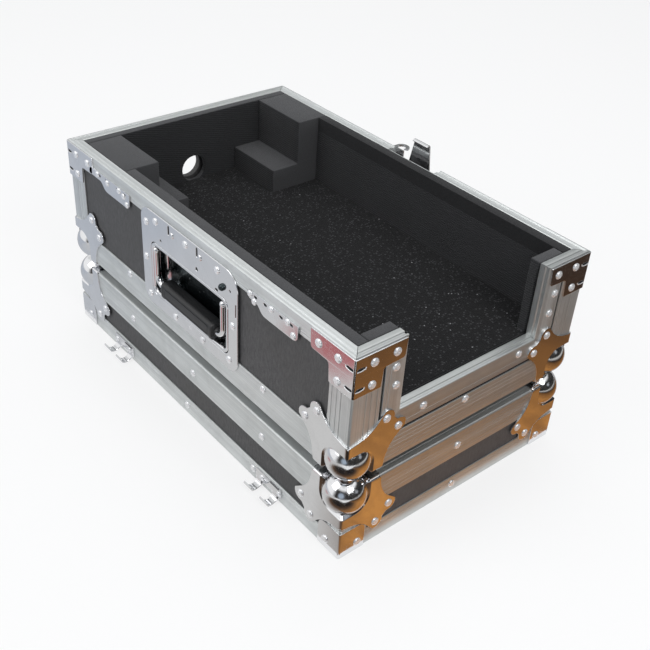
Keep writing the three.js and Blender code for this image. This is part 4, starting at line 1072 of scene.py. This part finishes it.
def wrapped(signs, top):
    """Places a plate bent round a corner: s is 0 at the bend, below 0 on an end face, above 0 on a side."""
    sx, sy = signs
    bend_start = BEND - SHEET

    def put(s, t, depth):
        if abs(s) <= HALF_ARC:
            angle = math.pi / 4 * (1 + s / HALF_ARC)
            reach = BEND - depth
            u, v = bend_start - reach * math.sin(angle), bend_start - reach * math.cos(angle)
        else:
            far, near = abs(s) - HALF_ARC + bend_start, depth - SHEET
            u, v = (near, far) if s > 0 else (far, near)
        return Vector((sx * (HALF_X - u), sy * (HALF_Y - v), top + t))

    return put


def bent_plate(shape, arm, put, holes=()):
    """A plate alike on both sides of its bend, from one side's points."""
    flat = HALF_ARC - BEND + SHEET
    outline = [(a + flat, b, r) for a, b, r in arm] + [(-a - flat, b, r) for a, b, r in reversed(arm)]
    shape.plate(rounded(outline), put, holes, edge=0.35, folds=[HALF_ARC * k / 2 for k in range(-2, 3)])


def braces():
    """Flat plates bent round the upper corners of the box and the open corners of the lid."""
    for corner, signs in CORNERS.items():
        sx, sy = signs
        plate_top = TOP - 1
        put = wrapped(signs, plate_top)
        shape, slits = Shape(), []
        for t in BRACE_SLITS:
            for sign in (-1, 1):
                middle = sign * (HALF_ARC + 0.2 + SLIT_LENGTH / 2)
                slits.append(slit(middle, t, SLIT_LENGTH / 2, SLIT_WIDTH / 2, 1.15))
                start, end = sign * (HALF_ARC + 0.1), sign * (HALF_ARC + 8.8)
                lip = [put(start, t - 1.5, 0.1), put((start + end) / 2, t - 1.7, -0.1), put(end, t - 1.0, 0),
                       put(end + sign * 0.5, t + 0.6, 0.1)]
                shape.tube(lip, 0.45, 8, RIVET)
        bent_plate(shape, BRACE_ARM, put, slits)
        shape.painted_shade_backs(slits, put, 1.25, 1.4)
        for a, t in BRACE_RIVETS:
            shape.dome((sx * RIGHT_FACE, sy * (HALF_Y - a), plate_top + t), (sx, 0, 0), finish=RIVET)
            shape.dome((sx * (HALF_X - a), sy * REAR_FACE, plate_top + t), (0, sy, 0), finish=RIVET)
        shape.made(f"box_{corner}_corner_plate", BOX, PRESSED[:3], "chrome", [f"box_{corner}_brace"])

        (side_a, side_z), (end_a, end_z) = LID_BRACE_RIVETS
        shape = Shape()
        bent_plate(shape, LID_BRACE_LEG, wrapped(signs, LID_BRACE_TOP))
        shape.dome((sx * RIGHT_FACE, sy * (HALF_Y - side_a), side_z), (sx, 0, 0), finish=RIVET)
        shape.dome((sx * (HALF_X - end_a), sy * REAR_FACE, end_z), (0, sy, 0), finish=RIVET)
        shape.made(f"lid_{corner}_corner_plate", LID, PRESSED[:2], "chrome", [f"lid_{corner}_brace"])


# Left side: handle, keepers and the lid's hooks

def recess(grow, corner):
    """The outline of the handle's recess, grown by a length on all sides."""
    (front, rear), (foot, top) = RECESS_Y, RECESS_Z
    return rounded_rectangle((front - grow, rear + grow), (foot - grow, top + grow), corner)


def dish(shape, corner, lip, sides):
    """The handle's dish with a rolled lip: (grow, depth) steps outside and inside the recess."""
    def loop(grow, depth):
        return [on_left(a, b, depth) for a, b in recess(grow, max(corner + grow, 1.5))]

    thick = 1.0
    floor_grow, floor_depth = sides[-1]
    inside = [loop(*step) for step in lip + sides]
    outside = [loop(floor_grow, floor_depth + thick), loop(1.0, floor_depth + thick),
               loop(1.2, lip[0][1] + thick)]
    whole = tuple(range(len(inside[0])))
    shape.wall(inside)
    shape.wall([inside[0], *reversed(outside)])
    shape.take(inside[-1], [whole], DISH_FLOOR)
    shape.take(outside[0], [whole])
    bmesh.ops.remove_doubles(shape.mesh, verts=shape.mesh.verts, dist=0.0005)


def half_round(radius, height, angles):
    """Profile points of a round head whose middle is at a height."""
    turns = [math.radians(a) for a in angles]
    return [(radius[0] * math.sin(t), height - radius[1] * math.cos(t)) for t in turns]


def handle_plate():
    """The plate round the handle, pressed into a dish with a rolled lip."""
    low_z, high_z = low("handle_dish").z, high("handle_dish").z
    y0, y1 = low("handle_dish").y, high("handle_dish").y - 5
    corner, front_corner = 14, 19
    outline = rounded([(y0, low_z, corner), (y1, low_z, corner), (y1, high_z, corner),
                       (y0, high_z, front_corner)], 8)
    cut_outs = [recess(4.4, 8)]
    cut_outs += [slit(y, BASE + z, *sizes) for y, z, *sizes in HANDLE_SLITS]
    cut_outs += [circle((y, BASE + z), radius, 14) for y, z, radius in HANDLE_HOLES]
    cut_outs += [slit(y, BASE + z, *sizes) for y, z, *sizes in HANDLE_NOTCHES]
    shape = Shape()
    shape.plate(outline, on_left, cut_outs, edge=0.55)
    shape.painted_shade_backs(cut_outs[1:], on_left, 1.42, 1.5)
    lip = [(4.1, 1.3), (4.1, 0.3), (3.8, -0.05), (3.2, -0.2), (1.6, -0.12), (0.9, 0.1), (0.4, 0.6),
           (0.1, 1.4)]
    dish(shape, 5.0, lip, [(0, 2.4), (0, 10.5), (-0.7, 13.2), (-2.4, 15.0), (-5.0, 15.6)])
    outward = (-1, 0, 0)
    for y, z in HANDLE_RIVETS:
        shape.dome((LEFT_FACE, y, BASE + z), outward, HANDLE_RIVET, RIVET)
    flat_head = [(0, -0.4), (3.5, -0.4), (3.4, 0.15), (2.9, 0.65), (2.0, 1.05), (1.0, 1.25), (0, 1.3)]
    for y, z in HANDLE_STUDS:
        shape.lathe(flat_head, (LEFT_FACE, y, BASE + z), outward, 20)
    y, z = WIRE_STUD
    stud = [(0, -1.0), (3.0, -1.0), (3.2, 0.0), *half_round((3.5, 3.0), 0.6, range(90, 180, 15)), (0, 3.6)]
    # The wire's stud takes the dark dish steel rather than chrome: a painted dark reflection.
    shape.lathe(stud, (LEFT_FACE, y, BASE + z), outward, 20, DISH_FLOOR)
    shape.made("handle_plate_and_dish", BOX, PRESSED, "chrome", ["handle_dish"], sharp=45)


def handle_bail():
    """The bent wire, with an eye round a pin at the top of each arm."""
    x, bar_z = PIVOT_X - 2.2, PIVOT_Z - BAR_DROP
    front, rear = ARM_Y
    drops = (-2, 4, 9, 14, 20, 25)
    path = [(x, front, PIVOT_Z - drop) for drop in drops]
    path += [(x, a, b) for a, b in arc((front + WIRE_BEND, bar_z + WIRE_BEND), WIRE_BEND, 180, 270, 8)]
    path += [(x, a, bar_z) for a in (-30, 0, 30)]
    path += [(x, a, b) for a, b in arc((rear - WIRE_BEND, bar_z + WIRE_BEND), WIRE_BEND, 270, 360, 8)]
    path += [(x, rear, PIVOT_Z - drop) for drop in reversed(drops)]
    shape = Shape()
    shape.tube(path, WIRE, 20)
    eye, pin_gap = WIRE + 0.4, 0.4
    pin_ends = (low("handle_bail").y + pin_gap, high("handle_bail").y - pin_gap)
    for y, pin_end, sign in zip(ARM_Y, pin_ends, (-1, 1)):
        ball = [(0, -eye), *half_round((eye, eye), 0, range(15, 180, 15)), (0, eye)]
        shape.lathe(ball, (x, y, PIVOT_Z + 1), (0, 1, 0), 20)
        reach = abs(pin_end - y)
        pin = [(0, 0), (PIN, 0), (PIN, reach - 0.5), (PIN - 0.4, reach), (0, reach)]
        shape.lathe(pin, (PIVOT_X, y, PIVOT_Z), (0, sign, 0), 14)
    shape.made("handle_wire_bail", BAIL, [CHROME], "chrome", ["handle_bail"])


def handle_grip():
    """A moulded grip with flat faces, sunk panels and collars round the wire at both ends."""
    x, z = PIVOT_X - 0.6, PIVOT_Z - BAR_DROP - 0.4
    front, rear = GRIP_Y
    shape = Shape()

    def ring(y, wide, tall, fullness=3.4):
        points = []
        for k in range(48):
            c, s = math.cos(2 * math.pi * k / 48), math.sin(2 * math.pi * k / 48)
            reach = (abs(c) ** fullness + abs(s) ** fullness) ** (-1 / fullness)
            points.append((x + wide * reach * c, y, z + tall * reach * s))
        return points

    collar = ((-3.4, 4.2, 4.2, 2), (-2.9, 4.9, 4.9, 2), (-0.4, 5.4, 5.4, 2), (0, 6.6, 7.6), (0.5, 7.6, 8.8),
              (1.6, 8.1, 9.3), (4.2, 8.2, 9.4), (5.0, 7.8, 9.0))
    rings = [ring(front + inwards, *sizes) for inwards, *sizes in collar]
    shape.sweep(rings + [ring(rear - inwards, *sizes) for inwards, *sizes in reversed(collar)])
    panel = front + 6.5, rear - 6.5
    for angle, lift, half_wide in ((90, 8.9, 3.6), (180, 7.7, 5.2), (270, 8.9, 3.6), (0, 7.7, 5.2)):
        c, s = math.cos(math.radians(angle)), math.sin(math.radians(angle))
        band = 1.3
        outer = rounded_rectangle(panel, (-half_wide, half_wide), 1.6, 3)
        inner = rounded_rectangle((panel[0] + band, panel[1] - band),
                                  (band - half_wide, half_wide - band), 0.8, 3)
        steps = ((outer, lift - 0.8), (outer, lift + 0.2), (inner, lift + 0.25), (inner, lift - 0.8))
        shape.wall([[(x + c * out - s * b, a, z + s * out + c * b) for a, b in loop]
                    for loop, out in steps], closed=True)
    shape.made("handle_grip_moulding", BAIL, [GRIP], "grip", ["handle_grip"], sharp=35)


def keepers():
    """Plates on the left rim that the lid's hooks reach over, with an S-shaped lower edge."""
    for name in ("front", "rear"):
        node = name + "_keeper_plate"
        front, rear = low(node).y, high(node).y
        top, tip = high(node).z, low(node).z
        band, far = top - KEEPER_BAND, rear + KEEPER_OVERREACH[name]
        outline = [(front, top - 0.5), (far - 6, top - 0.5), *arc((far - 6, top - 6.5), 6, 90, 0, 6)]
        outline += [(far, band + 1), (far - 1, band)]
        outline += bent([(rear - 8, band), (rear - 16, band), (rear - 15, tip), (rear - 24, tip)], 8)[1:]
        outline += [(front + 7, tip), (front + 3, tip + 1.2), (front + 0.8, tip + 4)]
        holes = [slit(front + (rear - front) * share, top - 4, 2.2, 1.2, 1.1) for share in KEEPER_HOLE_SHARES]
        shape = Shape()
        shape.plate(outline[::-1], on_left, holes, edge=0.4)
        shape.painted_shade_backs(holes, on_left, 1.3, 1.45)
        for y, z in KEEPER_RIVETS[name]:
            shape.dome((LEFT_FACE, y, BASE + z), (-1, 0, 0), SMALL_RIVET, RIVET)
        shape.made(name + "_keeper", BOX, PRESSED[:3], "chrome", [node])


def prong(shape, middle, foot):
    """A flared strip that curls out and up from a hook's foot: places (out, above the foot) and widths."""
    path = ((0.6, 3.0), (-0.1, 1.2), (-1.4, -0.6), (-3.4, -2.0), (-5.9, -2.9), (-8.3, -3.0), (-10.5, -2.2),
            (-12.5, -0.4), (-13.8, 1.9), (-14.5, 4.2))
    widths = (10.5, 10.0, 9.2, 8.4, 8.0, 8.2, 9.4, 12.0, 13.0, 11.0)
    edge = ((-1, -0.4), (-0.94, -0.7), (0.94, -0.7), (1, -0.4),
            (1, 0.4), (0.94, 0.7), (-0.94, 0.7), (-1, 0.4))
    rings = []
    for i, ((out, lift), width) in enumerate(zip(path, widths)):
        run = (Vector(path[min(i + 1, len(path) - 1)]) - Vector(path[max(i - 1, 0)])).normalized()
        rings.append([(LEFT_FACE + out - run.y * thick, middle + side * width / 2,
                       foot + lift + run.x * thick) for side, thick in edge])
    shape.sweep(rings)


def lid_hooks():
    """Hooks that reach down over the keepers: a riveted band with two curled prongs."""
    foot, raised = LID_HOOK_FOOT, LID_HOOK_FOOT + 2.4
    for name in ("front", "rear"):
        node = name + "_lid_hook"
        front, rear, top = low(node).y, high(node).y, high(node).z - 0.4
        shape = Shape()
        shape.plate(rounded([(front, foot, 2.5), (front + 12, foot, 2.5), (front + 13.5, raised, 2.0),
                             (rear - 13.5, raised, 2.0), (rear - 12, foot, 2.5), (rear, foot, 2.5),
                             (rear, top, 1.2), (front, top, 1.2)]), on_left, edge=0.4)
        fold = ((-0.2, 0), (-1.7, -0.1), (-1.9, -0.7), (-1.6, -1.3), (-0.2, -1.4))
        shape.sweep([[(LEFT_FACE + out, y, top + up) for out, up in fold] for y in (front + 0.8, front + 15)])
        for middle in (front + 6.6, rear - 6.6):
            prong(shape, middle, foot)
        for y in LID_HOOK_RIVETS[name]:
            shape.dome((LEFT_FACE, y, 11.6), (-1, 0, 0), SMALL_RIVET, RIVET)
        shape.made(name + "_lid_hook_plate", LID, PRESSED[:2], "chrome", [node])


# Rivets of the trim and the latch

def trim_rivets():
    box, lid = Shape(), Shape()
    for x, z in FRONT_RIVETS:
        box.dome((x, -HALF_Y, BASE + z), (0, -1, 0))
    for x in REAR_RIVETS:
        box.dome((x, HALF_Y, BASE + RIVET_LIFT), (0, 1, 0))
    for side in (-1, 1):
        for y in SIDE_RIVETS:
            box.dome((side * HALF_X, y, BASE + RIVET_LIFT), (side, 0, 0))
            lid.dome((side * HALF_X, y, LID_TOP - LID_SIDE_DROP), (side, 0, 0))
            rim_y = y if side > 0 else y + HOOK_SIDE_SHIFT
            lid.dome((side * HALF_X, rim_y, LID_RIM_LIFT), (side, 0, 0))
    for side in (-1, 1):
        lid.dome((LID_END_SHIFT, side * HALF_Y, LID_TOP - LID_END_DROP), (0, side, 0))
        lid.dome((0, side * HALF_Y, LID_RIM_LIFT), (0, side, 0))
    box.made("box_trim_rivets", BOX, [RIVET_STEEL], "chrome")
    lid.made("lid_trim_rivets", LID, [RIVET_STEEL], "chrome")


def latch_rivets():
    """Rivets of the latch plate and of its catch on the lid."""
    plate, catch = Shape(), Shape()
    for y, z in [(y, z) for y in (-44, 44) for z in (27, 70, 109)] + [(-24, 26.5), (24, 26.5)]:
        plate.dome((RIGHT_FACE, LATCH_Y + y, BASE + z), (1, 0, 0), LATCH_RIVET)
    for y, z in [(y, z) for y in (-18, 18) for z in (13, 43)]:
        catch.dome((RIGHT_FACE, LATCH_Y + y, z), (1, 0, 0), CATCH_RIVET)
    plate.made("latch_plate_rivets", BOX, [RIVET_STEEL], "chrome")
    catch.made("latch_catch_rivets", LID, [RIVET_STEEL], "chrome")


def hook_plate():
    """The draw hook, narrower towards its rolled lip."""
    hook = node_solid("latch_hook")
    soften_edges(hook, 60, 0.35, 2)
    waist, top = TOP - HOOK_WAIST, high("latch_hook").z
    cut_across(hook, (0, 0, waist), (0, 0, 1))
    middle = (low("latch_hook").y + high("latch_hook").y) / 2
    half = high("latch_hook").y - middle
    for vertex in hook.verts:
        share = max(vertex.co.z - waist, 0) / (top - waist)
        taper = HOOK_TAPER["rear" if vertex.co.y > middle else "front"]
        vertex.co.y += share * taper * (middle - vertex.co.y) / half
        vertex.co.z = min(vertex.co.z, top - 0.01)
    shape = Shape()
    shape.take([v.co.copy() for v in hook.verts], [tuple(v.index for v in f.verts) for f in hook.faces])
    hook.free()
    shape.made("latch_hook_plate", HOOK, [CHROME], "chrome", ["latch_hook"], sharp=50)


# Cut foam and mat

def cut_foam(node, name, body, materials, finish_of, soften=1.2, cell=14.0, uneven=0.25):
    """Cut foam in the place of a node: soft edges, slightly wavy faces, its top pressed out against the rim.

    finish_of(normal, centre) picks a face's finish."""
    cut = node_solid(node)
    bmesh.ops.dissolve_limit(cut, angle_limit=math.radians(1), verts=cut.verts, edges=cut.edges)
    soften_edges(cut, 30, soften, 3)
    lowest, highest = low(node), high(node)
    for axis in range(3):
        normal = Vector([1.0 if i == axis else 0.0 for i in range(3)])
        reach = highest[axis] - lowest[axis]
        steps = max(int(reach / cell), 1)
        for k in range(1, steps):
            cut_across(cut, normal * (lowest[axis] + reach * k / steps), normal)
    for vertex in cut.verts:
        for axis, half in ((0, HALF_X), (1, HALF_Y)):
            if vertex.co.z > TOP - RIM_DEPTH and abs(vertex.co[axis]) > half - RIM_REACH:
                vertex.co[axis] += math.copysign(RIM_GAP, vertex.co[axis])
    cut.normal_update()
    for vertex in cut.verts:
        wave = noise.noise(vertex.co * 0.045) * 0.7 + noise.noise(vertex.co * 0.15) * 0.3
        vertex.co -= vertex.normal * (0.5 + 0.5 * wave) * uneven
    for face in cut.faces:
        face.material_index = finish_of(face.normal, face.calc_center_median())
    piece = smooth_piece(cut, name, materials, 50)
    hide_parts(node)
    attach(piece, body)


def linings():
    """Ribbed liners round the box, two stepped blocks, the mat and the lid's lining."""
    wall = [SIDE_FOAM, CUT_FOAM, BLACK_FOAM_AND_PAINTED_SHADE, REAR_FOAM]
    upward, dark_top = 0.5, TOP - 20

    def plain(normal, centre):
        return 0

    for side, finish_of in (("left", lambda normal, centre: 1 if normal.z > upward else 0),
                            # The right liner's faces whose middle lies within 20 mm of the rim's top take the
                            # near-black finish, darker than the ribbed liner below.
                            ("right", lambda normal, centre: 2 if centre.z > dark_top else 0),
                            ("front", lambda normal, centre: 1 if normal.z > upward else 0),
                            ("rear", lambda normal, centre: 1 if normal.z > upward else 3)):
        cut_foam(side + "_foam_liner", side + "_wall_foam", BOX, wall, finish_of)
    for side in ("left", "right"):
        cut_foam(side + "_rear_foam_block", side + "_cable_block", BOX, [CUT_FOAM, SIDE_FOAM],
                 lambda normal, centre: 0 if normal.z > upward or normal.y < -upward else 1, 1.0)
    cut_foam("floor_foam", "equipment_mat", BOX, [MAT, SIDE_FOAM], plain, 0.4, 20.0, 0.12)
    cut_foam("lid_foam_lining", "lid_lining", LID, [CUT_FOAM], plain, 1.0, 20.0)


def mat_strip():
    """The mat's strip in the cut-out, from the front liner to the mat."""
    strip, top = Shape(), high("floor_foam").z
    y_span = low("front_foam_liner").y - 0.4, low("floor_foam").y + 0.6
    outline = rounded_rectangle(between(OPENING, 0.5), y_span, 0.5, 2)
    strip.sweep([[(a, b, z) for a, b in outline] for z in (top - 0.5, top - 0.02)])
    piece = strip.made("mat_front_strip", BOX, [MAT], "floor_mat")


for make in (trims, rims, front_rim, ball_corners, braces, handle_plate, handle_bail, handle_grip, keepers,
             lid_hooks, trim_rivets, linings, mat_strip, hook_plate, latch_rivets):
    make()


# Nodes that keep their own solids

def dress(node, material, edge=0.0):
    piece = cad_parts[node]
    if not piece.material_slots:
        piece.data.materials.append(material)
    for slot in piece.material_slots:
        slot.material = material
    if edge:
        bevel = piece.modifiers.new("rounded_edges", "BEVEL")
        bevel.width, bevel.segments, bevel.limit_method = edge * MM, 3, "ANGLE"
        bevel.angle_limit = math.radians(40)
        bevel.harden_normals = True


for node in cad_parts:
    if "board" in node:
        # The box's front board shows only in narrow gaps between the front trims; it is dressed near-black
        # there as painted shade.
        dress(node, BLACK_FOAM_AND_PAINTED_SHADE if node == "box_front_board" else LAMINATE)
    elif "foam" in node:
        dress(node, MAT if node == "floor_foam" else SIDE_FOAM)
    elif "spring" in node:
        dress(node, SPRING)
    elif node == "handle_grip":
        dress(node, GRIP)
    elif "trim" in node or "rim" in node or "angle" in node:
        dress(node, ALUMINIUM["y"])
    else:
        dress(node, CHROME, 0.4)
